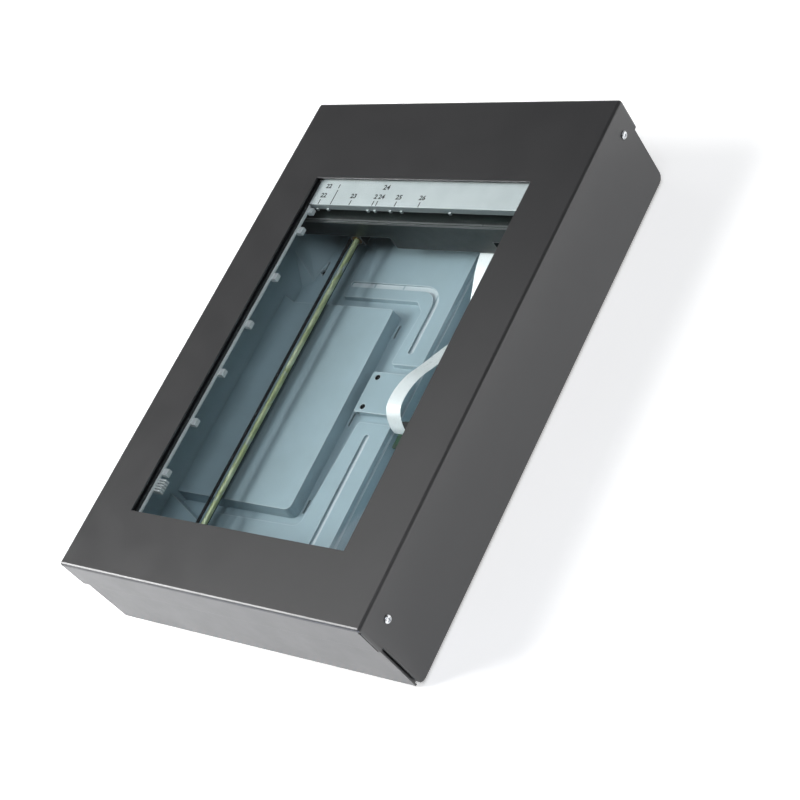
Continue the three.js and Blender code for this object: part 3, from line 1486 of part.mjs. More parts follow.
// Ribbon: from the carriage's well along its underside, down to the trough,
// and over in a loop into the connector
function flatCable() {
  const under = wellFloor - seat - cableThickness / 2;
  const behind = (share, height) => [ribbonSlotY - share * cableReach, height];
  const points = [
    [ribbonSlotY, ribbonTop],
    [ribbonSlotY, under + 3],
    [ribbonSlotY - 1, under + 0.8],
    [ribbonSlotY - 4, under],
    behind(0.09, under),
    behind(0.145, under),
    behind(0.1817, under - 0.3),
    behind(0.2257, under - 2.4),
    behind(0.2734, under - 5.9),
    behind(0.3688, troughLevel + 17),
    behind(0.4385, troughLevel + 7),
    behind(0.4936, troughLevel + 3.5),
    behind(0.545, troughLevel + 7),
    behind(0.6037, troughLevel + 17),
    behind(0.6624, ribbonEnd + 3.5),
    behind(0.7468, ribbonEnd + 15.5),
    behind(0.8147, ribbonEnd + 25.8),
    behind(0.8752, ribbonEnd + 31.5),
    behind(0.9266, ribbonEnd + 33.6),
    behind(0.967, ribbonEnd + 32.4),
    behind(0.9927, ribbonEnd + 27),
    behind(1.0092, ribbonEnd + 19),
    behind(1.0183, ribbonEnd + 10),
    behind(1.0161, ribbonEnd + 2.5),
    [connectorFront - 1, ribbonEnd],
    [connectorFront + 4, ribbonEnd],
  ];
  const line = smoothLine(points, 58);
  return prismX(band(line, cableThickness), cableX - cableWidth / 2, cableX + cableWidth / 2);
}

// Flat lead along the trough's floor between the two boards
function boardLead() {
  const floor = troughLevel + seat + cableThickness / 2;
  const front = mainBoardRear - mainBoardLength;
  const troughRear = trayHalfLength - 68;
  const points = [
    [relayRear + seat, relayTop + 2.5],
    [relayRear + 4, relayTop + 1],
    [relayRear + 8, floor + 7],
    [relayRear + 13, floor + 0.6],
    [relayRear + 20, floor],
    [relayRear + 26, floor],
    [troughRear - 28, floor],
    [troughRear - 11, floor],
    [troughRear - 5.5, floor + 1.5],
    [troughRear - 3.4, floor + 6],
    [troughRear - 2.8, valleyLevel],
    [troughRear, valleyLevel + 4],
    [front - 4.5, boardTop - 3],
    [front - 3, boardTop + 1],
    [front - seat, boardTop + 2.5],
  ];
  const line = smoothLine(points, 36);
  return prismX(band(line, cableThickness), leadX - leadWidth / 2, leadX + leadWidth / 2);
}

// Motor lead: down from the motor, through the bracket and across the tray's floor to the main board
function motorLead() {
  const foot = valleyLevel + 2 * seat + bracketSheet + cableThickness / 2;
  const floor = valleyLevel + seat + cableThickness / 2;
  const boardLeft = mainBoardX - mainBoardWidth / 2;
  const points = [
    [motorLeadX, motorZ - motorRadius - 3 - seat],
    [motorLeadX, foot + 4],
    [motorLeadX + 1.2, foot + 1.2],
    [motorLeadX + 4, foot],
    [bracketX + 4, foot],
    [bracketX + 9, floor],
    [bracketX + 14, floor],
    [(bracketX + boardLeft) / 2, floor],
    [boardLeft - 24, floor],
    [boardLeft - 16, floor],
    [boardLeft - 9, floor + 2],
    [boardLeft - 4, boardTop + 1],
    [boardLeft - seat, boardTop + 3],
  ];
  const line = smoothLine(points, 30);
  return prismY(band(line, cableThickness), motorLeadY - 3, motorLeadY + 3);
}

// Square data socket: a shell with its tongue set back from the mouth
function usbSocket() {
  const z = [boardTop + seat, boardTop + seat + socketHeight];
  const middle = (z[0] + z[1]) / 2;
  const shell = block(usbX - usbWidth / 2, usbX + usbWidth / 2, socketRear - usbDepth, socketRear, ...z);
  const mouth = rectangle(usbX - 4.2, usbX + 4.2, middle - 3.9, middle + 3.9, 0);
  mouth[2][2] = 2;
  mouth[3][2] = 2;
  const hollow = prismY(shapeOf(mouth), socketRear - 10, socketRear + 1);
  const reach = [socketRear - 11, socketRear - 4.6];
  const tongue = block(usbX - 2.8, usbX + 2.8, ...reach, middle - 1.6, middle + 1.6);
  return join(cut(shell, hollow), tongue);
}

// Round power socket: a square body with a round mouth and a pin set back in it
function powerSocket() {
  const z = [boardTop + seat, boardTop + seat + socketHeight];
  const middle = (z[0] + z[1]) / 2;
  const body = block(jackX - jackWidth / 2, jackX + jackWidth / 2, socketRear - jackDepth, socketRear, ...z);
  const mouthEnd = socketRear - 0.7 * jackDepth;
  const mouth = cylinder("y", 3.2, mouthEnd, socketRear + 1, jackX, middle, 20);
  const pin = cylinder("y", 1, mouthEnd - 0.5, socketRear - 4.6, jackX, middle, 10);
  return join(cut(body, mouth), pin);
}

place("main_board", mainBoard(), boardGreen);
place("relay_board", relayBoard(), boardGreen);
place("cable_connector", cableConnector(), blackPlastic);
place("flat_cable", flatCable(), ribbonFilm);
place("board_lead", boardLead(), ribbonFilm);
place("motor_lead", motorLead(), ribbonFilm);
place("usb_socket", usbSocket(), zinc);
place("power_socket", powerSocket(), blackPlastic);

export default scanner;
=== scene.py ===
"""Looks for a foot scanner that stands on the floor.

Every CAD node gets its finish. The printed ruler, toothed belt, flat ribbons and corner strips are made
here, and so is the studio. Places are in the row frame, in millimetres unless a comment says otherwise.
"""

import logging
import math
from dataclasses import dataclass
from enum import Enum
from typing import Any, Iterable, Sequence

import bmesh
import bpy
from mathutils import Matrix, Vector


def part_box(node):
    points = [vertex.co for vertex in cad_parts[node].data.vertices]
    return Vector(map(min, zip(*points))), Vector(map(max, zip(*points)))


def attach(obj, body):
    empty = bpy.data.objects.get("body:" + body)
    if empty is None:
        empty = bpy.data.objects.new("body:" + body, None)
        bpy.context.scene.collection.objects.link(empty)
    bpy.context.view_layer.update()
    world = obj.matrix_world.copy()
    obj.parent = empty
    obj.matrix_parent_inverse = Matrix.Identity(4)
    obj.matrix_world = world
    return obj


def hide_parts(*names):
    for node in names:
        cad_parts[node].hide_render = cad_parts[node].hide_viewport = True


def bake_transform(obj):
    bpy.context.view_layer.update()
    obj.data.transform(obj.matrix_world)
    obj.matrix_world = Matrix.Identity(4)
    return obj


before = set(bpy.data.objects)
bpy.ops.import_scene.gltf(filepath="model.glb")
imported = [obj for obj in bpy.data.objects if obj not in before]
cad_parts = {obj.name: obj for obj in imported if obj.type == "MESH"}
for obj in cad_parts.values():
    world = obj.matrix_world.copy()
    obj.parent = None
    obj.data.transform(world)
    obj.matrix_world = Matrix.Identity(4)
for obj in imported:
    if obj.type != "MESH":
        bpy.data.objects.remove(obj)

Colour = tuple[float, float, float, float]
Node = bpy.types.Node
Object = bpy.types.Object
Point = tuple[float, float]
Rows = Iterable[Sequence[float]]
Socket = bpy.types.NodeSocket
Stops = Sequence[tuple[float, str]]
Tree = bpy.types.NodeTree

MM = 0.001
FOOT = 5.0  # mm, height of the rubber feet under the case
MIX_FIRST, MIX_SECOND, MIX_RESULT = 6, 7, 2  # a colour mix's sockets for its colours
log = logging.getLogger("foot_scanner")


# Colour and nodes


def linear(colour: str) -> Colour:
    """Turns an sRGB hex colour to linear.

    Args:
        colour: Six hex digits after a hash sign.

    Returns:
        Red, green, blue and an alpha of one.
    """
    parts = [int(colour[i : i + 2], 16) / 255 for i in (1, 3, 5)]
    red, green, blue = (c / 12.92 if c <= 0.04045 else ((c + 0.055) / 1.055) ** 2.4 for c in parts)
    return (red, green, blue, 1.0)


def add_node(
    tree: Tree, kind: str, feeds: dict[Any, Any] | None = None, stops: Stops = (), **settings: Any
) -> Node:
    """Adds one node with its settings, values and links.

    Args:
        tree: The tree it goes into.
        kind: Blender's name for the node.
        feeds: What goes into its inputs, by name or number: a socket or a node's first output is linked, and
            any other value is set.
        stops: Place and sRGB hex colour of each stop of a colour ramp, in order.
        **settings: The node's own properties.

    Returns:
        The new node.
    """
    made = tree.nodes.new(kind)
    for name, value in settings.items():
        setattr(made, name, value)
    for name, value in (feeds or {}).items():
        if isinstance(value, Node):
            value = value.outputs[0]
        if isinstance(value, Socket):
            tree.links.new(value, made.inputs[name])
        else:
            made.inputs[name].default_value = value
    for number, (place, colour) in enumerate(stops):
        ramp = made.color_ramp.elements  # a new ramp has two stops of its own
        stop = ramp[number] if number < len(ramp) else ramp.new(place)
        stop.position, stop.color = place, linear(colour)
    return made


def striped(tree: Tree, value: Socket, turns: float, shape: str, stops: Stops) -> Socket:
    """Colours a value in stripes.

    Args:
        tree: The material's tree.
        value: What the stripes are counted on.
        turns: How many stripes there are while the value grows by one.
        shape: Blender's name for the wave, a sine or a cosine.
        stops: Height on the wave and sRGB hex colour of each stop, in order.

    Returns:
        The colour's socket.
    """
    angle = add_node(tree, "ShaderNodeMath", {0: value, 1: 2 * math.pi * turns}, operation="MULTIPLY")
    wave = add_node(tree, "ShaderNodeMath", {0: angle}, operation=shape)
    return add_node(tree, "ShaderNodeValToRGB", {"Fac": wave}, stops).outputs["Color"]


# Meshes and lines


def placed(name: str, data: bpy.types.ID) -> Object:
    """Puts a mesh, text, lamp or camera into the scene.

    Args:
        name: The object's name.
        data: What it shows.

    Returns:
        The new object, with its origin at zero.
    """
    made = bpy.data.objects.new(name, data)
    bpy.context.scene.collection.objects.link(made)
    return made


def mesh_object(name: str, points: Rows, faces: Rows, edges: Rows = ()) -> Object:
    """Makes an object from points in millimetres.

    Args:
        name: The object's name.
        points: Corners in the row frame.
        faces: Corner numbers of each face.
        edges: Corner numbers of each loose edge.

    Returns:
        The object.
    """
    mesh = bpy.data.meshes.new(name)
    mesh.from_pydata([Vector(p) * MM for p in points], list(edges), list(faces))
    mesh.update()
    return placed(name, mesh)


def plain_mesh(source: Object, name: str) -> Object:
    """Turns an object with modifiers into a plain mesh object, and removes the source.

    Args:
        source: The object whose evaluated shape is kept.
        name: The name of the result.

    Returns:
        The new object, at the origin.
    """
    bpy.context.view_layer.update()
    evaluated = source.evaluated_get(bpy.context.evaluated_depsgraph_get())
    mesh = bpy.data.meshes.new_from_object(evaluated)
    mesh.transform(source.matrix_world)
    bpy.data.objects.remove(source)
    mesh.name = name
    return placed(name, mesh)


def joined(parts: list[Object], name: str) -> Object:
    """Joins mesh objects at the origin into one.

    Args:
        parts: The objects, which are used up.
        name: The name of the result.

    Returns:
        The joined object.
    """
    bpy.ops.object.select_all(action="DESELECT")
    for part in parts:
        part.select_set(True)
    bpy.context.view_layer.objects.active = parts[0]
    bpy.ops.object.join()
    parts[0].name = name
    parts[0].data.name = name
    return parts[0]


def with_normals(piece: Object, sharp: float = 35.0) -> None:
    """Turns a closed mesh's faces outwards, and keeps its edges sharp.

    Args:
        piece: The piece.
        sharp: Least angle of an edge that stays sharp, degrees.
    """
    work = bmesh.new()
    work.from_mesh(piece.data)
    bmesh.ops.recalc_face_normals(work, faces=work.faces)
    work.to_mesh(piece.data)
    work.free()
    piece.data.set_sharp_from_angle(angle=math.radians(sharp))


def smooth_line(points: Sequence[Point], count: int) -> list[Point]:
    """A centripetal Catmull-Rom line through the points.

    Args:
        points: The points that it passes.
        count: How many steps the line has, spread evenly over its spans.

    Returns:
        The line's points, one more than count.
    """
    shortest = 1e-4  # keeps two equal points from dividing by zero
    stops = [Vector(p) for p in points]
    ends = [2 * stops[0] - stops[1], *stops, 2 * stops[-1] - stops[-2]]
    line = []
    for step in range(count + 1):
        along = (len(stops) - 1) * step / count
        span = min(int(along), len(stops) - 2)
        share = along - span
        a, b, c, d = ends[span : span + 4]
        first, middle, last = (max((q - p).length ** 0.5, shortest) for p, q in ((a, b), (b, c), (c, d)))
        out = ((b - a) / first - (c - a) / (first + middle) + (c - b) / middle) * middle
        into = ((c - b) / middle - (d - b) / (middle + last) + (d - c) / last) * middle
        square, cube = share * share, share**3
        place = b + out * share + (3 * (c - b) - 2 * out - into) * square + (2 * (b - c) + out + into) * cube
        line.append((place.x, place.y))
    return line


def line_length(points: Sequence[Sequence[float]]) -> float:
    """The length of a line of points."""
    return sum((Vector(b) - Vector(a)).length for a, b in zip(points, points[1:]))


# Finishes


class Grain(Enum):
    """How a surface got its fine relief."""

    PEEL = "orange peel of baked powder"
    SPARK = "skin of a spark-eroded mould"
    BRUSHED = "lines of rolling or turning"
    SMOOTH = "polished or drawn"


GRAIN_DETAIL = {Grain.PEEL: 1.0, Grain.SPARK: 4.0, Grain.BRUSHED: 3.0, Grain.SMOOTH: 0.0}
BRUSH_STRETCH = 0.03  # pattern scale along a brushed grain, of that across it
DRIFT_END, COLOUR_START = 0.34, 0.62  # cloud values between which the drift turns into the colour
WEAR_SHARE = 2.3  # how much finer the clouds of uneven gloss are than those of colour
WEAR_START, WEAR_END = 0.3, 0.7  # cloud values that take the lowest and highest roughness
COAT_ROUGHNESS = 0.25
# Reach and colour of the painted shade in inner corners, and of the painted highlight on outer edges.
PAINTED_SHADE_REACH, PAINTED_SHADE_TONE = 6.0, (0.05, 0.08, 0.1, 1.0)  # mm and a linear colour
PAINTED_HIGHLIGHT_REACH, PAINTED_HIGHLIGHT_TONE = 1.1, (1.0, 1.0, 1.0, 1.0)  # mm and a linear colour
OPEN_SHARE = 0.35  # openness at which a crease or a rim has its full tone
OCCLUSION_SAMPLES = 8
BEVEL_SAMPLES = 4


@dataclass(frozen=True)
class Finish:
    """A solid material with patches of a second colour, uneven gloss and fine relief.

    Attributes:
        name: The real material.
        colour: Its colour, as sRGB hex.
        drift: The colour that it drifts to in patches.
        patch: Size of those patches.
        roughness: Mean roughness.
        spread: How far the roughness strays from its mean.
        grain: How the relief was made.
        grain_size: Size of the relief, no finer than the render shows.
        depth: Height of the relief.
        edge: Radius that sharp edges catch light with.
        metallic: One for bare metal.
        ior: Index of refraction.
        coat: Weight of a clear layer on top.
        along: Axis that a brushed grain runs along, 0 to 2.
        painted_corner_shade: Share by which inner corners are painted darker, as painted shade.
        painted_edge_highlight: Share by which outer edges are painted paler, as painted highlight.
    """

    name: str
    colour: str
    drift: str
    patch: float
    roughness: float
    spread: float = 0.06
    grain: Grain = Grain.SPARK
    grain_size: float = 0.8
    depth: float = 0.012
    edge: float = 0.35
    metallic: float = 0.0
    ior: float = 1.5
    coat: float = 0.0
    along: int = 1
    painted_corner_shade: float = 0.0
    painted_edge_highlight: float = 0.0

    def material(self) -> bpy.types.Material:
        """Builds the material, once.

        Returns:
            The material, or the one that an earlier call has built.
        """
        found = bpy.data.materials.get(self.name)
        if found:
            return found
        made = bpy.data.materials.new(self.name)
        made.use_nodes = True
        tree = made.node_tree
        tree.nodes.clear()
        place = add_node(tree, "ShaderNodeTexCoord").outputs["Object"]
        shader = self.shader(tree, place)
        add_node(tree, "ShaderNodeOutputMaterial", {"Surface": self.surface(tree, shader)})
        made.diffuse_color = linear(self.colour)
        return made

    def colour_of(self, tree: Tree, place: Socket) -> Socket:
        """The base colour: soft patches between the two colours.

        Args:
            tree: The material's tree.
            place: Object coordinates.

        Returns:
            The colour's socket.
        """
        feeds = {"Vector": place, "Scale": 1 / (self.patch * MM), "Detail": 5.0, "Roughness": 0.6}
        cloud = {"Fac": add_node(tree, "ShaderNodeTexNoise", feeds)}
        stops = ((DRIFT_END, self.drift), (COLOUR_START, self.colour))
        return add_node(tree, "ShaderNodeValToRGB", cloud, stops).outputs["Color"]

    def painted_shade_and_highlight(self, tree: Tree, colour: Socket) -> Socket:
        """Paints shade into inner corners and highlights onto outer edges.

        Args:
            tree: The material's tree.
            colour: The base colour.

        Returns:
            The colour's socket.
        """
        # Painted shade in inner corners and painted highlights on outer edges, both found by occlusion.
        for share, reach, inside, tone in (
            (self.painted_corner_shade, PAINTED_SHADE_REACH, False, PAINTED_SHADE_TONE),
            (self.painted_edge_highlight, PAINTED_HIGHLIGHT_REACH, True, PAINTED_HIGHLIGHT_TONE),
        ):
            if share:
                options = {"samples": OCCLUSION_SAMPLES, "inside": inside, "only_local": inside}
                near = add_node(tree, "ShaderNodeAmbientOcclusion", {"Distance": reach * MM}, **options)
                span = {"Value": near.outputs["AO"], "From Min": OPEN_SHARE, "To Min": share, "To Max": 0.0}
                feeds = {0: add_node(tree, "ShaderNodeMapRange", span), MIX_FIRST: colour, MIX_SECOND: tone}
                colour = add_node(tree, "ShaderNodeMix", feeds, data_type="RGBA").outputs[MIX_RESULT]
        return colour

    def relief_of(self, tree: Tree, place: Socket) -> Node:
        """The height of the fine relief, from zero to one.

        Args:
            tree: The material's tree.
            place: Object coordinates.

        Returns:
            The pattern's node.
        """
        feeds = {"Vector": place, "Scale": 1 / (self.grain_size * MM), "Detail": GRAIN_DETAIL[self.grain]}
        if self.grain is Grain.BRUSHED:
            stretch = [1.0, 1.0, 1.0]
            stretch[self.along] = BRUSH_STRETCH
            feeds["Vector"] = add_node(tree, "ShaderNodeMapping", {"Vector": place, "Scale": stretch})
        return add_node(tree, "ShaderNodeTexNoise", feeds)

    def shader(self, tree: Tree, place: Socket) -> Socket:
        """The Principled shader with its colour, gloss and relief.

        Args:
            tree: The material's tree.
            place: Object coordinates.

        Returns:
            The shader's output.
        """
        relief = {
            "Height": self.relief_of(tree, place),
            "Distance": self.depth * MM,
            "Strength": 1.0,
            "Normal": add_node(tree, "ShaderNodeBevel", {"Radius": self.edge * MM}, samples=BEVEL_SAMPLES),
        }
        clouds = {"Vector": place, "Scale": WEAR_SHARE / (self.patch * MM), "Detail": 6.0, "Roughness": 0.65}
        gloss = {
            "Value": add_node(tree, "ShaderNodeTexNoise", clouds),
            "From Min": WEAR_START,
            "From Max": WEAR_END,
            "To Min": self.roughness - self.spread,
            "To Max": self.roughness + self.spread,
        }
        feeds: dict[str, Any] = {
            "Base Color": self.painted_shade_and_highlight(tree, self.colour_of(tree, place)),
            "Roughness": add_node(tree, "ShaderNodeMapRange", gloss),
            "Metallic": self.metallic,
            "Normal": add_node(tree, "ShaderNodeBump", relief),
        }
        if not self.metallic:
            feeds["IOR"] = self.ior
        if self.coat:
            feeds.update({"Coat Weight": self.coat, "Coat Roughness": COAT_ROUGHNESS})
        return add_node(tree, "ShaderNodeBsdfPrincipled", feeds).outputs["BSDF"]

    def surface(self, tree: Tree, shader: Socket) -> Socket:
        """What reaches the output; plain for a solid material."""
        return shader


@dataclass(frozen=True)
class Chromated(Finish):
    """Rod steel in yellow chromate: olive and straw streaks with blue-grey touches from the dip.

    Attributes:
        tint: The rarer third colour of the film.
        drawn: Pattern scale along the rod, of that across it.
    """

    tint: str = "#b3bdc2"
    drawn: float = 0.35

    def colour_of(self, tree: Tree, place: Socket) -> Socket:
        """The film's colour, in clouds drawn out along the rod.

        Args:
            tree: The material's tree.
            place: Object coordinates.

        Returns:
            The colour's socket.
        """
        drawn = add_node(tree, "ShaderNodeMapping", {"Vector": place, "Scale": (1.0, self.drawn, 1.0)})
        feeds = {"Vector": drawn, "Scale": 1 / (self.patch * MM), "Detail": 6.0, "Distortion": 0.6}
        cloud = {"Fac": add_node(tree, "ShaderNodeTexNoise", feeds)}
        stops = ((0.33, self.tint), (0.45, self.drift), (0.7, self.colour))
        return add_node(tree, "ShaderNodeValToRGB", cloud, stops).outputs["Color"]


@dataclass(frozen=True)
class ClearGlass(Finish):
    """Float glass: hardly any colour face on, a faint green body, and dust that softens its gloss.

    Attributes:
        clean: Cloud value up to which the glass has no dust.
        dusty: Cloud value from which it has the most.
    """

    clean: float = 0.45
    dusty: float = 0.75

    def shader(self, tree: Tree, place: Socket) -> Socket:
        """A glass shader with patches of dust.

        Args:
            tree: The material's tree.
            place: Object coordinates.

        Returns:
            The shader's output.
        """
        clouds = {"Vector": place, "Scale": 1 / (self.patch * MM), "Detail": 8.0, "Roughness": 0.7}
        dust = add_node(tree, "ShaderNodeTexNoise", clouds)
        film = {"Value": dust, "From Min": self.clean, "From Max": self.dusty, "To Max": self.spread}
        feeds = {
            "Base Color": linear(self.colour),
            "Roughness": add_node(tree, "ShaderNodeMapRange", film),
            "IOR": self.ior,
            "Transmission Weight": 1.0,
        }
        return add_node(tree, "ShaderNodeBsdfPrincipled", feeds).outputs["BSDF"]

    def surface(self, tree: Tree, shader: Socket) -> Socket:
        """Lets light from lamps and lit surfaces through, so that what lies under the glass is lit.

        Args:
            tree: The material's tree.
            shader: The glass shader.

        Returns:
            The mixed shader.
        """
        path = add_node(tree, "ShaderNodeLightPath").outputs
        rays = {0: path["Is Shadow Ray"], 1: path["Is Diffuse Ray"]}
        either = add_node(tree, "ShaderNodeMath", rays, operation="MAXIMUM")
        clear = add_node(tree, "ShaderNodeBsdfTransparent", {"Color": linear(self.drift)})
        return add_node(tree, "ShaderNodeMixShader", {0: either, 1: shader, 2: clear}).outputs["Shader"]


@dataclass(frozen=True)
class Conductors(Finish):
    """Polyester film over tinned conductors, which show through it as fine grey stripes along the ribbon.

    Attributes:
        pitch: Spacing of the conductors.
    """

    pitch: float = 1.25

    def colour_of(self, tree: Tree, place: Socket) -> Socket:
        """Stripes at the conductors' spacing, read across the ribbon from its own map.

        Args:
            tree: The material's tree.
            place: Object coordinates, not read here.

        Returns:
            The colour's socket.
        """
        across = add_node(tree, "ShaderNodeUVMap", uv_map="across")
        parts = add_node(tree, "ShaderNodeSeparateXYZ", {"Vector": across}).outputs
        stops = ((0.15, self.colour), (0.8, self.drift))
        return striped(tree, parts["X"], 1 / (self.pitch * MM), "COSINE", stops)


@dataclass(frozen=True)
class CircuitBoard(Finish):
    """Glass-fibre board under green solder mask: tracks lie under it as paler straight runs.

    Attributes:
        track: Spacing of the tracks.
        tracks: How many tracks run round the middle of a cell.
        uneven: How far the cells stray from even rows, from zero to one.
    """

    track: float = 2.2
    tracks: int = 3
    uneven: float = 0.85

    def colour_of(self, tree: Tree, place: Socket) -> Socket:
        """Square-cornered tracks and bare mask between them.

        Args:
            tree: The material's tree.
            place: Object coordinates.

        Returns:
            The colour's socket.
        """
        scale = 1 / (self.tracks * self.track * MM)
        feeds = {"Vector": place, "Scale": scale, "Randomness": self.uneven}
        cells = add_node(tree, "ShaderNodeTexVoronoi", feeds, distance="CHEBYCHEV", feature="F1").outputs
        stops = ((0.45, self.colour), (0.6, self.drift))
        return striped(tree, cells["Distance"], self.tracks, "SINE", stops)


@dataclass(frozen=True)
class SideShadedStrip(Finish):
    """A strip with a pale printed film on its upper face, and painted shade on its faces that don't face up.

    Attributes:
        body: Colour of the painted shade on faces that don't face up.
        bare: Upward share of a normal up to which a face has only the painted shade.
        fully_lit_from: Upward share of a normal from which it has its film.
    """

    # Colour of the painted shade.
    body: str = "#7b8384"
    bare: float = 0.7
    fully_lit_from: float = 0.9

    def colour_of(self, tree: Tree, place: Socket) -> Socket:
        """The film's colour on top, and painted shade elsewhere.

        Args:
            tree: The material's tree.
            place: Object coordinates.

        Returns:
            The colour's socket.
        """
        facing = add_node(tree, "ShaderNodeTexCoord").outputs["Normal"]
        upward = add_node(tree, "ShaderNodeSeparateXYZ", {"Vector": facing}).outputs["Z"]
        # Faces that don't face up get painted shade instead of the film's colour.
        span = {"Value": upward, "From Min": self.bare, "From Max": self.fully_lit_from}
        film = super().colour_of(tree, place)
        share = add_node(tree, "ShaderNodeMapRange", span)
        feeds = {0: share, MIX_FIRST: linear(self.body), MIX_SECOND: film}
        return add_node(tree, "ShaderNodeMix", feeds, data_type="RGBA").outputs[MIX_RESULT]


def shows_background(tree: Tree) -> Socket:
    """A value of 1 for the rays that show the background, straight, mirrored or through glass.

    Args:
        tree: The tree of the floor or the sky.

    Returns:
        The value's socket.
    """
    path = add_node(tree, "ShaderNodeLightPath").outputs
    turned = {0: path["Is Glossy Ray"], 1: path["Is Transmission Ray"]}
    every = {0: path["Is Camera Ray"], 1: add_node(tree, "ShaderNodeMath", turned, operation="MAXIMUM")}
    return add_node(tree, "ShaderNodeMath", every, operation="MAXIMUM").outputs["Value"]


@dataclass(frozen=True)
class LitPaper(Finish):
    """Translucent white paper of a studio table that is lit a little from below, and looks white far out.

    Attributes:
        glow: Strength of the light that comes through it.
        near: Distance from the object within which the background shows only that, m.
        far: Distance beyond which the background is white, m.
        white: Strength that shows there besides.
    """

    glow: float = 0.5
    near: float = 0.7
    far: float = 3.0
    white: float = 0.6

    def surface(self, tree: Tree, shader: Socket) -> Socket:
        """Adds the light from below.

        Args:
            tree: The material's tree.
            shader: The paper's own shader.

        Returns:
            The sum.
        """
        place = add_node(tree, "ShaderNodeTexCoord").outputs["Object"]
        distance = add_node(tree, "ShaderNodeVectorMath", {0: place}, operation="LENGTH").outputs["Value"]
        span = {"Value": distance, "From Min": self.near, "From Max": self.far, "To Max": self.white}
        terms = {0: add_node(tree, "ShaderNodeMapRange", span), 1: shows_background(tree), 2: self.glow}
        strength = add_node(tree, "ShaderNodeMath", terms, operation="MULTIPLY_ADD")
        light = add_node(tree, "ShaderNodeEmission", {"Color": linear(self.colour), "Strength": strength})
        return add_node(tree, "ShaderNodeAddShader", {0: shader, 1: light}).outputs["Shader"]


# The numbers of a finish: patch, roughness, spread; after the grain its size, depth and edge.

# Polyester powder baked on sheet steel: satin, with a soft orange peel that breaks up highlights.
POWDER_COAT = Finish(
    "powder_coated_steel", "#2a2a2b", "#272728", 90, 0.33, 0.03, Grain.PEEL, 1.1, 0.006, 0.6, ior=1.73
)
# Zinc on steel screws: bright, cool and slightly clouded.
ZINC = Finish(
    "zinc_plated_steel", "#eef0f2", "#c8ccd0", 2.5, 0.28, 0.08, Grain.BRUSHED, 0.25, 0.004, 0.2, metallic=1.0
)
# Rolled stainless sheet: grey, with lines along its length.
STAINLESS = Finish(
    "rolled_stainless_steel", "#b9bcbf", "#a4a8ab", 8, 0.33, 0.06, Grain.BRUSHED, 0.3, 0.004, 0.25,
    metallic=1.0,
)
# Ground rod steel in yellow chromate: mottled olive and straw.
CHROMATE = Chromated(
    "yellow_chromated_rod", "#cbd7b6", "#99a674", 9, 0.34, 0.08, Grain.SMOOTH, 0.5, 0.002, 0.2, metallic=0.5
)
# Blackened steel screws.
BLACK_OXIDE = Finish(
    "black_oxide_steel", "#2a2c2e", "#1c1d1f", 2, 0.38, 0.06, Grain.BRUSHED, 0.25, 0.004, 0.2, metallic=1.0
)
# Sintered bronze bushes: warm, dull and porous.
BRONZE = Finish(
    "sintered_bronze", "#7a6240", "#57462e", 1.2, 0.55, 0.08, Grain.SPARK, 0.4, 0.02, 0.2, metallic=1.0
)
# Cut brass for the pinion.
BRASS = Finish(
    "cut_brass", "#d8b65c", "#b8943f", 2, 0.3, 0.06, Grain.BRUSHED, 0.25, 0.004, 0.15, metallic=1.0
)
# Silver on polished glass: all reflection.
SILVER = Finish(
    "silvered_glass", "#eef2f3", "#e2e8ea", 12, 0.04, 0.02, Grain.SMOOTH, 2, 0.001, 0.1, metallic=1.0
)
# Rubber of the feet: black and nearly matt.
RUBBER = Finish("moulded_rubber", "#1e1e1f", "#171718", 6, 0.8, 0.07, Grain.SPARK, 0.5, 0.04, 0.5, ior=1.52)
# Closed-cell foam tape: black, with open pores at its cut edge.
FOAM = Finish("cut_foam_tape", "#161617", "#0f0f10", 3, 0.9, 0.05, Grain.SPARK, 0.7, 0.15, 0.1, ior=1.4)
# Neoprene belt with a cloth face: black and dry.
NEOPRENE = Finish("neoprene_belt", "#0d0e0f", "#141516", 2, 0.85, 0.08, Grain.SPARK, 0.4, 0.03, 0.1, ior=1.4)
# Moulded ABS: low gloss from the etched mould, and edges that catch light.
ABS_SLATE = Finish(
    "moulded_abs_slate_blue", "#9fb3bb", "#98abb2", 60, 0.42, 0.07, Grain.SPARK, 0.9, 0.012, 0.7,
    # painted shade in inner corners and painted highlights on outer edges
    ior=1.54, painted_corner_shade=0.22, painted_edge_highlight=0.5,
)
ABS_CHARCOAL = Finish(
    "moulded_abs_charcoal", "#0f1817", "#0b1211", 25, 0.4, 0.06, Grain.SPARK, 0.7, 0.012, 0.7,
    # painted highlights on outer edges
    ior=1.42, painted_edge_highlight=0.2,
)
ABS_BLACK = Finish(
    "moulded_abs_black", "#1b1c1d", "#151617", 20, 0.45, 0.06, Grain.SPARK, 0.7, 0.015, 0.4, ior=1.54
)
ABS_WHITE = Finish(
    "moulded_abs_white", "#eef1f1", "#e6eaea", 30, 0.42, 0.06, Grain.SPARK, 0.7, 0.01, 0.4, ior=1.54
)
# Ruler strip, with painted shade on its faces that don't face up.
ABS_PEARL = SideShadedStrip(
    "moulded_abs_pearl_grey", "#d2d7d7", "#c7cdcd", 40, 0.35, 0.05, Grain.SPARK, 0.8, 0.006, 0.4, ior=1.54
)
# Acetal wheels: milky and waxy.
ACETAL = Finish("turned_acetal", "#ece9df", "#e0dccf", 8, 0.38, 0.06, Grain.SMOOTH, 1, 0.004, 0.2, ior=1.48)
# Lamp tube: clear glass over white phosphor.
LAMP = Finish(
    "phosphor_coated_tube", "#f1f2ea", "#e6e8df", 6, 0.12, 0.04, Grain.SMOOTH, 2, 0.001, 0.1, coat=0.6
)
# Circuit board: glossy green mask over its tracks.
BOARD = CircuitBoard(
    "solder_masked_board", "#11301f", "#1a452c", 10, 0.35, 0.05, Grain.SMOOTH, 1, 0.003, 0.1, ior=1.55
)
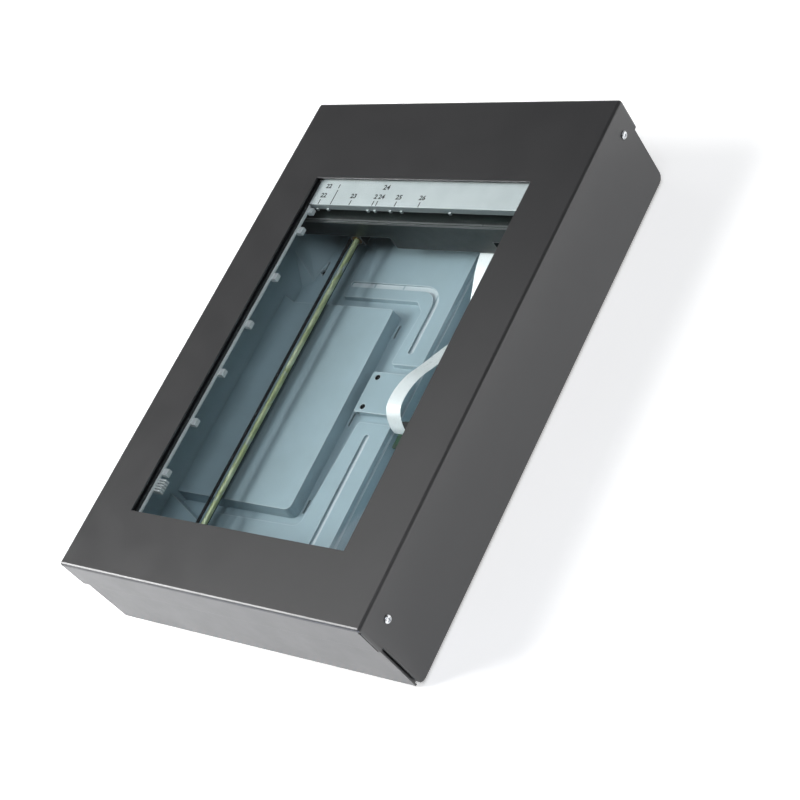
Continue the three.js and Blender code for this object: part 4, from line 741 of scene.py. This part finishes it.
# Ink printed on the ruler: dense, thin and slightly glossy.
INK = Finish("printed_ink", "#0f1214", "#171b1d", 3, 0.45, 0.05, Grain.SMOOTH, 0.5, 0.001, 0.05, ior=1.5)
# Ribbon film: white polyester with conductors inside.
FILM = Conductors(
    "polyester_ribbon_film", "#fbfdfc", "#eef1f1", 10, 0.3, 0.05, Grain.SMOOTH, 1.25, 0.004, 0.1, ior=1.57
)
# Blue stiffener that is glued behind a ribbon's end.
STIFFENER = Finish(
    "polyester_stiffener", "#3d6fa8", "#366399", 6, 0.3, 0.05, Grain.SMOOTH, 1, 0.002, 0.1, ior=1.57
)
# Float glass; its index is set below that of real glass, so that it mirrors less.
GLASS = ClearGlass("float_glass", "#fdfefe", "#f3f7f7", 35, 0.0, 0.03, ior=1.2)
# Studio table of matt white paper.
PAPER = LitPaper("studio_paper", "#f6f6f5", "#f3f3f2", 400, 0.9, 0.03, Grain.SPARK, 3, 0.05, 0.1, ior=1.3)


# Geometry Nodes


def geometry_tree(name: str, sizes: dict[str, float]) -> tuple[Tree, Node, dict[str, Socket]]:
    """Starts a geometry tree with a mesh input and named inputs for sizes.

    Args:
        name: The tree's name.
        sizes: Default of each size, in metres.

    Returns:
        The tree, its input node, and the size sockets by name.
    """
    tree = bpy.data.node_groups.new(name, "GeometryNodeTree")
    tree.interface.new_socket("Geometry", in_out="INPUT", socket_type="NodeSocketGeometry")
    for size, value in sizes.items():
        socket = tree.interface.new_socket(size, in_out="INPUT", socket_type="NodeSocketFloat")
        socket.default_value = value
    tree.interface.new_socket("Geometry", in_out="OUTPUT", socket_type="NodeSocketGeometry")
    entry = tree.nodes.new("NodeGroupInput")
    return tree, entry, {size: entry.outputs[size] for size in sizes}


def end_tree(tree: Tree, shape: Node, finish: Finish) -> None:
    """Ends a geometry tree in Realize Instances and Set Material.

    Args:
        tree: The tree.
        shape: The node that gives what the tree has made.
        finish: The finish that the result gets.
    """
    real = add_node(tree, "GeometryNodeRealizeInstances", {"Geometry": shape})
    dressed = add_node(tree, "GeometryNodeSetMaterial", {"Geometry": real, "Material": finish.material()})
    add_node(tree, "NodeGroupOutput", {"Geometry": dressed})


def run_tree(source: Object, tree: Tree, sizes: dict[str, float], name: str) -> Object:
    """Runs a geometry tree on an object, and keeps the result as a plain mesh.

    Args:
        source: The object that it starts from.
        tree: The tree.
        sizes: Values for its named inputs, in millimetres.
        name: The name of the result.

    Returns:
        The finished object.
    """
    modifier = source.modifiers.new("shape", "NODES")
    modifier.node_group = tree
    for item in tree.interface.items_tree:
        if item.in_out == "INPUT" and item.name in sizes:
            modifier[item.identifier] = sizes[item.name] * MM
    return plain_mesh(source, name)


def marks_tree(finish: Finish) -> Tree:
    """A tree that draws one printed tick at each point, as long as the point says.

    Args:
        finish: The ink.

    Returns:
        The tree.
    """
    tree, entry, sizes = geometry_tree("printed_ticks", {"Width": 0.0005, "Thickness": 0.00005})
    size = add_node(tree, "ShaderNodeCombineXYZ", {"X": sizes["Width"], "Y": 1.0, "Z": sizes["Thickness"]})
    box = add_node(tree, "GeometryNodeMeshCube", {"Size": size})
    # The box starts at its point, and is one metre long until it is scaled.
    forward = add_node(tree, "GeometryNodeTransform", {"Geometry": box, "Translation": (0, 0.5, 0)})
    length = add_node(tree, "GeometryNodeInputNamedAttribute", {"Name": "tick_length"}, data_type="FLOAT")
    scale = add_node(tree, "ShaderNodeCombineXYZ", {"X": 1.0, "Y": length.outputs["Attribute"], "Z": 1.0})
    points = add_node(tree, "GeometryNodeMeshToPoints", {"Mesh": entry.outputs["Geometry"]})
    feeds = {"Points": points, "Instance": forward, "Scale": scale}
    end_tree(tree, add_node(tree, "GeometryNodeInstanceOnPoints", feeds), finish)
    return tree


def bars_tree(finish: Finish) -> Tree:
    """A tree that sets one upright bar at each point.

    Args:
        finish: The bars' finish.

    Returns:
        The tree.
    """
    tree, entry, sizes = geometry_tree("upright_bars", {"Width": 0.002, "Depth": 0.002, "Height": 0.06})
    size = {"X": sizes["Width"], "Y": sizes["Depth"], "Z": sizes["Height"]}
    bar = add_node(tree, "GeometryNodeMeshCube", {"Size": add_node(tree, "ShaderNodeCombineXYZ", size)})
    points = add_node(tree, "GeometryNodeMeshToPoints", {"Mesh": entry.outputs["Geometry"]})
    bars = add_node(tree, "GeometryNodeInstanceOnPoints", {"Points": points, "Instance": bar})
    end_tree(tree, bars, finish)
    return tree


def belt_tree(finish: Finish) -> Tree:
    """A tree that sweeps a flat band along a closed line in a plane across X, with teeth on its inner side.

    Args:
        finish: The belt's rubber.

    Returns:
        The tree.
    """
    sunk = 0.48  # share of tooth and band between their middles, under a half so that a tooth sinks in
    defaults = {"Width": 0.004, "Band": 0.0006, "Pitch": 0.002, "Tooth": 0.0006}
    tree, entry, sizes = geometry_tree("toothed_belt", defaults)
    line = add_node(tree, "GeometryNodeMeshToCurve", {"Mesh": entry.outputs["Geometry"]})
    free = {"Curve": line, "Normal": (1.0, 0.0, 0.0)}
    steady = add_node(tree, "GeometryNodeSetCurveNormal", free, mode="FREE")
    section = {"Width": sizes["Width"], "Height": sizes["Band"]}
    profile = add_node(tree, "GeometryNodeCurvePrimitiveQuadrilateral", section, mode="RECTANGLE")
    sweep = {"Curve": steady, "Profile Curve": profile, "Fill Caps": False}
    band = add_node(tree, "GeometryNodeCurveToMesh", sweep)
    spaced = {"Curve": steady, "Length": sizes["Pitch"]}
    stops = add_node(tree, "GeometryNodeCurveToPoints", spaced, mode="LENGTH")
    half = add_node(tree, "ShaderNodeMath", {0: sizes["Pitch"], 1: 0.5}, operation="MULTIPLY")
    size = add_node(tree, "ShaderNodeCombineXYZ", {"X": sizes["Width"], "Y": sizes["Tooth"], "Z": half})
    tooth = add_node(tree, "GeometryNodeMeshCube", {"Size": size})
    depth = add_node(tree, "ShaderNodeMath", {0: sizes["Tooth"], 1: sizes["Band"]}, operation="ADD")
    reach = add_node(tree, "ShaderNodeMath", {0: depth, 1: sunk}, operation="MULTIPLY")
    offset = add_node(tree, "ShaderNodeCombineXYZ", {"Y": reach})
    inside = add_node(tree, "GeometryNodeTransform", {"Geometry": tooth, "Translation": offset})
    feeds = {"Points": stops, "Instance": inside, "Rotation": stops.outputs["Rotation"]}
    teeth = add_node(tree, "GeometryNodeInstanceOnPoints", feeds)
    both = add_node(tree, "GeometryNodeJoinGeometry", {"Geometry": band})
    tree.links.new(teeth.outputs["Instances"], both.inputs["Geometry"])
    end_tree(tree, both, finish)
    return tree


# Sub-assemblies


def dress(finish: Finish, *names: str) -> None:
    """Gives CAD nodes their finish.

    Args:
        finish: The finish.
        *names: The nodes.
    """
    for name in names:
        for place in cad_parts[name].material_slots:
            place.material = finish.material()
    log.info("%s: %s", finish.name, ", ".join(names))


def finished(piece: Object, body: str, slot: str, *nodes: str) -> None:
    """Sets a piece on its body and hides the nodes that it stands for.

    Args:
        piece: The piece.
        body: The body that it rides on, or nothing for a piece that bends between two.
        slot: The record's material slot; not used.
        *nodes: CAD nodes that it replaces.
    """
    if body:
        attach(piece, body)
    if nodes:
        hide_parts(*nodes)
    log.info("made %s", piece.name)


@dataclass
class Case:
    """The folded cover and base, with the feet and the cover's screws.

    Attributes:
        feet: How many feet there are.
        side: Place of the base's outer side, from the middle.
        face: Place of the base's outer end face, from the middle.
        strip: Width, depth and height of a corner strip.
        strip_gap: Gap between a strip and the base.
        strip_foot: Height of the strips' lower ends above the floor.
    """

    feet: int = 4
    side: float = 193.5
    face: float = 301.7
    strip: tuple[float, float, float] = (2.5, 2.0, 70.0)
    strip_gap: float = 0.05
    strip_foot: float = 7.6

    def corner_strips(self) -> Object:
        """Makes the strips that narrow the gap between the base's ends and the cover's flaps.

        Returns:
            The four strips as one mesh.
        """
        width, depth, height = self.strip
        x = self.side + self.strip_gap + width / 2
        y = self.face - depth / 2
        z = self.strip_foot + height / 2
        places = [(side * x, end * y, z) for end in (-1, 1) for side in (-1, 1)]
        source = mesh_object("strip_points", places, [])
        sizes = {"Width": width, "Depth": depth, "Height": height}
        return run_tree(source, bars_tree(POWDER_COAT), sizes, "corner_strips")

    def build(self) -> None:
        """Dresses the case's nodes, and sets the strips in its corners."""
        finished(self.corner_strips(), "case", "enamel")
        dress(POWDER_COAT, "top_cover", "base_pan")
        dress(RUBBER, *(f"rubber_foot_{i + 1}" for i in range(self.feet)))
        corners = ("front_left", "front_right", "rear_left", "rear_right")
        dress(ZINC, *(f"cover_screw_{corner}" for corner in corners))


@dataclass
class Window:
    """The glass with its tape and frame, and the white frame of the scanner below it."""

    def build(self) -> None:
        """Dresses the window's nodes."""
        dress(FOAM, "glass_gasket")
        dress(GLASS, "glass_plate")
        dress(ABS_BLACK, "glass_frame")
        dress(ABS_WHITE, "scanner_bezel")


@dataclass
class Ruler:
    """The ruler strip and the size marks printed on it.

    Attributes:
        tick_places: Places of the short ticks along the strip.
        long_place: Place of the long tick.
        front: The strip's front edge.
        top: The strip's upper face, above the floor.
        tick: Length of a short tick.
        long_tick: Length of the long tick.
        tick_width: Width of a tick.
        low_row: Middle of the lower row of numbers.
        high_row: Middle of the upper row of numbers.
        low_numbers: Figures and place of each number in the lower row.
        high_numbers: Figures, place and scale of each number in the upper row.
        number_height: Height of the lower row's figures.
        em: Size of the type, of the height of its figures.
        bold: How far the figures' strokes are thickened.
        ink: Thickness of the print.
    """

    tick_places: tuple[float, ...] = (-127.5, -83.5, -51.8, -46.5, -21.0, 10.5)
    long_place: float = -110.0
    front: float = 166.7
    top: float = 109.4
    tick: float = 6.5
    long_tick: float = 19.8
    tick_width: float = 1.15
    low_row: float = 178.6
    high_row: float = 191.2
    low_numbers: tuple[tuple[str, float], ...] = (
        ("22", -126.0), ("23", -83.4), ("2", -52.4), ("24", -44.5), ("25", -20.9), ("26", 10.5)
    )
    high_numbers: tuple[tuple[str, float, float], ...] = (
        ("22", -125.3, 0.96), ("1", -110.8, 0.85), ("24", -44.2, 1.08)
    )
    number_height: float = 5.9
    em: float = 1.4
    bold: float = 0.24
    ink: float = 0.06

    def marks(self) -> Object:
        """Makes the ticks from points that carry their lengths.

        Returns:
            The ticks as one mesh.
        """
        places = [(x, self.tick) for x in self.tick_places] + [(self.long_place, self.long_tick)]
        level = self.top + self.ink / 2
        source = mesh_object("tick_points", [(x, self.front, level) for x, _ in places], [])
        lengths = source.data.attributes.new("tick_length", "FLOAT", "POINT")
        lengths.data.foreach_set("value", [length * MM for _, length in places])
        sizes = {"Width": self.tick_width, "Thickness": self.ink}
        return run_tree(source, marks_tree(INK), sizes, "ruler_ticks")

    def number(self, text: str, x: float, y: float, height: float) -> Object:
        """Makes one printed number.

        Args:
            text: Its figures.
            x: Its middle along the strip.
            y: Its middle across the strip.
            height: The figures' height.

        Returns:
            The number as a mesh in its place.
        """
        curve = bpy.data.curves.new("number", "FONT")
        curve.body = text
        curve.align_x, curve.align_y = "CENTER", "CENTER"
        curve.size = height * self.em * MM
        curve.extrude = self.ink / 2 * MM
        curve.offset = self.bold * MM
        curve.resolution_u = 2
        source = placed("number", curve)
        source.matrix_world = Matrix.Translation(Vector((x, y, self.top + self.ink / 2)) * MM)
        made = plain_mesh(source, "number")
        made.data.materials.clear()
        made.data.materials.append(INK.material())
        return made

    def build(self) -> None:
        """Dresses the strip, and prints its ticks and numbers."""
        dress(ABS_PEARL, "ruler_strip")
        finished(self.marks(), "case", "white_plastic")
        size = self.number_height
        numbers = [self.number(text, x, self.low_row, size) for text, x in self.low_numbers]
        numbers += [self.number(text, x, self.high_row, size * part) for text, x, part in self.high_numbers]
        finished(joined(numbers, "ruler_numbers"), "case", "white_plastic")


@dataclass
class Tray:
    """The moulded tray with its cover plate, screws and glide rail."""

    def build(self) -> None:
        """Dresses the tray's nodes."""
        dress(ABS_SLATE, "scanner_tray", "service_plate")
        dress(BLACK_OXIDE, "plate_screw_1", "plate_screw_2")
        dress(STAINLESS, "glide_rail")


@dataclass
class Guide:
    """The guide rod in its two holders."""

    def build(self) -> None:
        """Dresses the rod and its holders."""
        dress(CHROMATE, "guide_rod")
        dress(ABS_CHARCOAL, "rod_holder_front", "rod_holder_rear")


@dataclass
class Carriage:
    """The moving carriage: housing, lid, lamp, mirrors, lens, sensor, bushes and shoe."""

    def build(self) -> None:
        """Dresses the carriage's nodes."""
        dress(ABS_CHARCOAL, "carriage_housing", "carriage_lid")
        dress(SILVER, "upper_mirror", "rear_mirror", "front_mirror")
        dress(LAMP, "lamp_tube")
        dress(STAINLESS, "lamp_reflector")
        dress(ABS_WHITE, "lamp_holder_left", "lamp_holder_right")
        dress(ABS_BLACK, "lens_barrel", "belt_clamp")
        dress(BOARD, "sensor_board")
        dress(BRONZE, "rod_bush_front", "rod_bush_rear")
        dress(ACETAL, "slide_shoe")


@dataclass
class BeltDrive:
    """The motor, its bracket and gears, the pulleys and the toothed belt.

    Attributes:
        middle: Place of the belt's middle along X.
        level: Height of both pulley axes above the floor.
        reach: Distance of each pulley axis from the middle of the case.
        inner: Radius of the belt's inner face round a pulley.
        thickness: The CAD belt's whole thickness.
        width: The belt's width.
        pitch: Spacing of its teeth.
        tooth: Height of a tooth.
        bends: Steps of the line round a pulley.
    """

    middle: float = -107.6
    level: float = 55.3
    reach: float = 252.0
    inner: float = 4.924
    thickness: float = 1.1
    width: float = 4.0
    pitch: float = 2.032
    tooth: float = 0.5
    bends: int = 14

    def belt(self) -> Object:
        """Sweeps the belt round both pulleys, with teeth inside.

        Returns:
            The belt.
        """
        band = self.thickness - self.tooth
        radius = self.inner + self.tooth + band / 2
        track = []
        for side in (1, -1):
            for step in range(self.bends + 1):
                angle = math.pi * (step / self.bends - 0.5)
                y = side * (self.reach + radius * math.cos(angle))
                track.append((self.middle, y, self.level + side * radius * math.sin(angle)))
        count = len(track)
        source = mesh_object("belt_line", track, [], [(i, (i + 1) % count) for i in range(count)])
        sizes = {"Width": self.width, "Band": band, "Pitch": self.pitch, "Tooth": self.tooth}
        return run_tree(source, belt_tree(NEOPRENE), sizes, "toothed_belt")

    def build(self) -> None:
        """Dresses the drive, and puts the toothed belt in the plain one's place."""
        dress(ZINC, "stepper_motor", "bracket_screw_1", "bracket_screw_2")
        dress(STAINLESS, "motor_bracket", "motor_shaft", "drive_pin", "idler_pin", "tension_leaf")
        dress(BRASS, "motor_pinion")
        dress(ACETAL, "drive_wheel", "idler_pulley")
        dress(ABS_CHARCOAL, "idler_holder")
        dress(NEOPRENE, "drive_belt")
        finished(self.belt(), "case", "belt", "drive_belt")


class Axis(Enum):
    """The plane that a ribbon's route lies in."""

    ALONG_Y = "yz"
    ALONG_X = "xz"


@dataclass
class Ribbon:
    """A flat ribbon on a route in one plane.

    Attributes:
        name: The piece's name.
        node: The CAD node that it stands for.
        route: Points of the route: along the plane's axis, and above the case's underside.
        steps: Steps of the smooth line.
        middle: Place of the ribbon's middle across the plane.
        width: The ribbon's width.
        thickness: The film's thickness.
        axis: The plane.
        stiffener: Length of the stiffener at each end.
        tape: Thickness of a stiffener.
        tape_lift: Distance of a stiffener's middle from the film's face.
        tape_margin: How much narrower a stiffener is than the ribbon.
        columns: Rows of corners along the ribbon, on each face.
    """

    name: str
    node: str
    route: tuple[Point, ...]
    steps: int
    middle: float
    width: float
    thickness: float = 0.34
    axis: Axis = Axis.ALONG_Y
    stiffener: float = 4.0
    tape: float = 0.18
    tape_lift: float = 0.1
    tape_margin: float = 0.8
    columns: int = 5

    def place(self, along: float, height: float, across: float) -> Vector:
        """Finds a point of the ribbon in the row frame."""
        flat = (self.middle + across, along) if self.axis is Axis.ALONG_Y else (along, self.middle + across)
        return Vector((*flat, height + FOOT))

    def corners(self, line: list[Point], spots: list[float], thickness: float, lift: float) -> list[Vector]:
        """Lays rows of corners below and above a line.

        Args:
            line: The middle line.
            spots: Places of the corners across it.
            thickness: Distance between the rows.
            lift: How far their middle stands off the line.

        Returns:
            The corners: for each point of the line, the lower row and then the upper one.
        """
        points = []
        for i, (along, height) in enumerate(line):
            before, after = line[max(i - 1, 0)], line[min(i + 1, len(line) - 1)]
            way = Vector((after[0] - before[0], after[1] - before[1])).normalized()
            for shift in (lift - thickness / 2, lift + thickness / 2):
                points += [self.place(along - way.y * shift, height + way.x * shift, spot) for spot in spots]
        return points

    def faces(self, last: int) -> list[tuple[int, ...]]:
        """Joins the corners' rows into a closed strip.

        Args:
            last: Number of the line's last point.

        Returns:
            The corner numbers of each face.
        """

        def at(step: int, layer: int, column: int) -> int:
            """The number of a corner."""
            return (2 * step + layer) * self.columns + column

        made = []
        edge = self.columns - 1
        for i in range(last):
            for c in range(edge):
                made.append((at(i, 0, c), at(i + 1, 0, c), at(i + 1, 0, c + 1), at(i, 0, c + 1)))
                made.append((at(i, 1, c + 1), at(i + 1, 1, c + 1), at(i + 1, 1, c), at(i, 1, c)))
            made.append((at(i, 0, 0), at(i, 1, 0), at(i + 1, 1, 0), at(i + 1, 0, 0)))
            made.append((at(i, 1, edge), at(i, 0, edge), at(i + 1, 0, edge), at(i + 1, 1, edge)))
        for c in range(edge):
            made.append((at(0, 0, c), at(0, 0, c + 1), at(0, 1, c + 1), at(0, 1, c)))
            made.append((at(last, 0, c + 1), at(last, 0, c), at(last, 1, c), at(last, 1, c + 1)))
        return made

    def strip(
        self, line: list[Point], name: str, width: float, thickness: float, lift: float, finish: Finish
    ) -> Object:
        """Makes a closed strip of even thickness along a line.

        Args:
            line: The middle line.
            name: The object's name.
            width: Its width.
            thickness: Its thickness.
            lift: How far it stands off the line.
            finish: Its finish.

        Returns:
            The strip, with a UV map in metres across and along.
        """
        spots = [width * (c / (self.columns - 1) - 0.5) for c in range(self.columns)]
        made = mesh_object(name, self.corners(line, spots, thickness, lift), self.faces(len(line) - 1))
        run = [0.0]
        for a, b in zip(line, line[1:]):
            run.append(run[-1] + (Vector(b) - Vector(a)).length)
        layer = made.data.uv_layers.new(name="across")
        for loop in made.data.loops:
            row, column = divmod(loop.vertex_index, self.columns)
            layer.data[loop.index].uv = (spots[column] * MM, run[row // 2] * MM)
        for face in made.data.polygons:
            face.use_smooth = True
        made.data.materials.append(finish.material())
        with_normals(made)
        return made

    def build(self) -> Object:
        """Makes the ribbon and the stiffeners at its ends as one piece.

        Returns:
            The piece, not yet on a body.
        """
        line = smooth_line(self.route, self.steps)
        parts = [self.strip(line, self.name, self.width, self.thickness, 0.0, FILM)]
        width, lift = self.width - self.tape_margin, self.thickness / 2 + self.tape_lift
        for ends in (line, line[::-1]):
            count = next(i for i in range(2, len(ends)) if line_length(ends[: i + 1]) >= self.stiffener)
            parts.append(self.strip(ends[: count + 1], "stiffener", width, self.tape, lift, STIFFENER))
        made = joined(parts, self.name)
        log.info("%s is %.0f mm long", self.name, line_length(line))
        return made


@dataclass
class Cables:
    """The carriage's ribbon and the two flat leads.

    Attributes:
        under: Height of the ribbon's run below the carriage, above the case's underside.
        slot: Place of the slot in the carriage's floor.
        enter: Height at which the ribbon enters its connector.
        mouth: The connector's front face.
    """

    under: float = 47.4
    slot: float = 214.5
    enter: float = 34.0
    mouth: float = -58.0

    def carriage_ribbon(self) -> Ribbon:
        """Lays the ribbon from the sensor board to the connector in the tray.

        Returns:
            The ribbon.
        """
        slot, under = self.slot, self.under
        route = (
            (slot, 53.0), (slot, under + 3), (slot - 1, under + 0.8), (slot - 4, under),
            (190.0, under), (175.0, under), (165.0, under - 0.3), (153.0, 45.0), (140.0, 41.5),
            (114.0, 29.0), (95.0, 19.0), (80.0, 15.5), (66.0, 19.0), (50.0, 29.0), (34.0, 37.5),
            (11.0, 49.5), (-7.5, 59.8), (-24.0, 65.5), (-38.0, 67.6), (-49.0, 66.4), (-56.0, 61.0),
            (-60.5, 53.0), (-63.0, 44.0), (-62.4, self.enter + 2.5),
            (self.mouth - 1, self.enter), (self.mouth + 4, self.enter),
        )
        return Ribbon("carriage_ribbon", "flat_cable", route, steps=216, middle=72.5, width=18.0)

    def board_lead(self) -> Ribbon:
        """Lays the lead along the trough's floor between the two boards.

        Returns:
            The lead.
        """
        floor, front = 12.6, 236.0
        route = (
            (-41.7, 29.5), (-38.0, 28.0), (-34.0, floor + 7), (-29.0, floor + 0.6), (-22.0, floor),
            (-16.0, floor), (200.0, floor), (217.0, floor), (222.5, floor + 1.5), (224.6, floor + 6),
            (225.2, 25.0), (228.0, 29.0), (front - 4.5, 31.6), (front - 3, 35.6), (front - 0.3, 37.1),
        )
        return Ribbon("board_ribbon", "board_lead", route, steps=114, middle=93.0, width=8.0, stiffener=3.0)

    def motor_lead(self) -> Ribbon:
        """Lays the lead from the motor's socket across the tray to the main board.

        Returns:
            The lead.
        """
        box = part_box("motor_lead")
        start, top = box[0].x / MM + 0.3, box[1].z / MM - FOOT
        middle = (box[0].y + box[1].y) / 2 / MM
        floor, edge = 25.6, 22.0
        foot = floor + 1.8
        route = (
            (start, top), (start, foot + 4), (start + 1.2, foot + 1.2),
            (start + 4, foot), (start + 16, foot),
            (start + 21, floor), (start + 26, floor), ((start + 12 + edge) / 2, floor), (edge - 24, floor),
            (edge - 16, floor), (edge - 9, floor + 2), (edge - 4, 35.6), (edge - 0.3, 37.6),
        )
        return Ribbon(
            "motor_ribbon", "motor_lead", route, steps=90, middle=middle, width=6.0,
            axis=Axis.ALONG_X, stiffener=3.0,
        )

    def build(self) -> None:
        """Makes the three ribbons; the long one, which bends between the carriage and the case, goes on no
        body.
        """
        long = self.carriage_ribbon().build()
        finished(long, "", "film", "flat_cable")
        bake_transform(long)
        for ribbon in (self.board_lead(), self.motor_lead()):
            finished(ribbon.build(), "case", "film", ribbon.node)


@dataclass
class Electronics:
    """The boards, the ribbon's connector and the two sockets."""

    def build(self) -> None:
        """Dresses the boards, connector and sockets."""
        dress(BOARD, "main_board", "relay_board")
        dress(ABS_BLACK, "cable_connector", "power_socket")
        dress(ZINC, "usb_socket")


# Studio


@dataclass(frozen=True)
class Lamp:
    """A soft lamp that faces the object.

    Attributes:
        name: Its name.
        way: Direction from the object to the lamp.
        distance: Metres from the object.
        width: Its width in metres.
        height: Its height in metres.
        power: Watts.
        colour: Its light, as sRGB hex.
    """

    name: str
    way: tuple[float, float, float]
    distance: float
    width: float
    height: float
    power: float
    colour: str = "#ffffff"

    def build(self) -> None:
        """Hangs the lamp."""
        light = bpy.data.lights.new(self.name, "AREA")
        light.energy = self.power
        light.shape = "RECTANGLE"
        light.size, light.size_y = self.width, self.height
        light.color = linear(self.colour)[:3]
        lamp = placed(self.name, light)
        way = Vector(self.way).normalized()
        lamp.location = way * self.distance
        lamp.rotation_euler = way.to_track_quat("Z", "Y").to_euler()


@dataclass
class Studio:
    """Floor, lamps, sky and the camera at the photograph's place.

    Attributes:
        eye: The camera's place.
        right: The camera's right, as a direction.
        down: The camera's down, as a direction.
        forward: The camera's line of sight.
        side: Side of the square frame, pixels.
        focal: Focal length in pixels of that frame.
        middle: Where the line of sight meets the frame, pixels from its top left.
        sensor: Side of the camera's sensor.
        clip: Nearest and farthest distance that the camera sees, m.
        half_floor: Distance from the middle to the floor's edges.
        ambient: Strength of the sky.
        backdrop: Height to which the backdrop is white, and at which it ends, degrees above the floor.
        lamps: The lamps.
    """

    eye: tuple[float, float, float] = (1194.84, -738.45, 1259.68)
    right: tuple[float, float, float] = (0.77047966, 0.41851405, -0.48083998)
    down: tuple[float, float, float] = (0.12399727, -0.8382876, -0.53094121)
    forward: tuple[float, float, float] = (-0.62528855, 0.34945656, -0.69777815)
    side: int = 800
    focal: float = 1808.15
    middle: tuple[float, float] = (399.33, 494.78)
    sensor: float = 36.0
    clip: tuple[float, float] = (0.05, 50.0)
    half_floor: float = 30000.0
    ambient: float = 0.105
    backdrop: tuple[float, float] = (13.0, 22.0)
    lamps: tuple[Lamp, ...] = (
        Lamp("key_lamp", (-0.72, -0.34, 0.7), 3.0, 1.5, 1.5, 98.0),
        Lamp("front_lamp", (-0.25, -1.0, 0.05), 2.4, 2.0, 0.1, 28.0, "#b4c6f0"),
        Lamp("edge_lamp", (-0.66, -0.62, 0.42), 3.0, 0.45, 0.45, 9.0),
        Lamp("fill_lamp", (0.42, -0.1, 1.0), 3.4, 1.9, 1.9, 46.0, "#f6f8ff"),
        Lamp("sheen_panel", (-0.55, 0.25, 0.797), 3.0, 1.5, 0.5, 4.8),
    )

    def camera(self) -> None:
        """Sets up the camera."""
        data = bpy.data.cameras.new("camera")
        data.sensor_width = self.sensor
        data.lens = self.focal / self.side * self.sensor
        data.shift_x = (self.side / 2 - self.middle[0]) / self.side
        data.shift_y = (self.middle[1] - self.side / 2) / self.side
        data.clip_start, data.clip_end = self.clip
        eye = placed("camera", data)
        x, y, z = Vector(self.right), -Vector(self.down), -Vector(self.forward)
        turn = Matrix((x, y, z)).transposed().to_4x4()
        eye.matrix_world = Matrix.Translation(Vector(self.eye) * MM) @ turn
        bpy.context.scene.camera = eye

    def floor(self) -> None:
        """Lays the pale floor."""
        half = self.half_floor
        corners = [(-half, -half, 0), (half, -half, 0), (half, half, 0), (-half, half, 0)]
        floor = mesh_object("floor", corners, [(0, 1, 2, 3)])
        floor.data.materials.append(PAPER.material())

    def sky(self) -> None:
        """Fills the room with soft light, and stands a white backdrop round it."""
        world = bpy.data.worlds.new("studio")
        world.use_nodes = True
        tree = world.node_tree
        tree.nodes.clear()
        way = add_node(tree, "ShaderNodeTexCoord").outputs["Generated"]
        height = add_node(tree, "ShaderNodeSeparateXYZ", {"Vector": way}).outputs["Z"]
        low, high = (math.sin(math.radians(angle)) for angle in self.backdrop)
        fall = {"Value": height, "From Min": low, "From Max": high, "To Min": 1.0, "To Max": self.ambient}
        backdrop = add_node(tree, "ShaderNodeMapRange", fall)
        shown = {"Value": shows_background(tree), "To Min": self.ambient, "To Max": backdrop}
        strength = add_node(tree, "ShaderNodeMapRange", shown)
        light = add_node(tree, "ShaderNodeBackground", {"Color": linear("#ffffff"), "Strength": strength})
        add_node(tree, "ShaderNodeOutputWorld", {"Surface": light})
        bpy.context.scene.world = world

    def build(self) -> None:
        """Sets up the camera, floor, sky and lamps."""
        bpy.context.scene.view_settings.view_transform = "Standard"
        self.camera()
        self.floor()
        self.sky()
        for lamp in self.lamps:
            lamp.build()


def main() -> None:
    """Builds every sub-assembly in order."""
    logging.basicConfig(level=logging.INFO, format="%(name)s: %(message)s")
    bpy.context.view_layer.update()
    for assembly in (
        Studio(),
        Cables(),
        Case(),
        Window(),
        Ruler(),
        Tray(),
        Guide(),
        Carriage(),
        BeltDrive(),
        Electronics(),
    ):
        assembly.build()
        log.info("built %s", type(assembly).__name__)


if __name__ == "__main__":
    main()
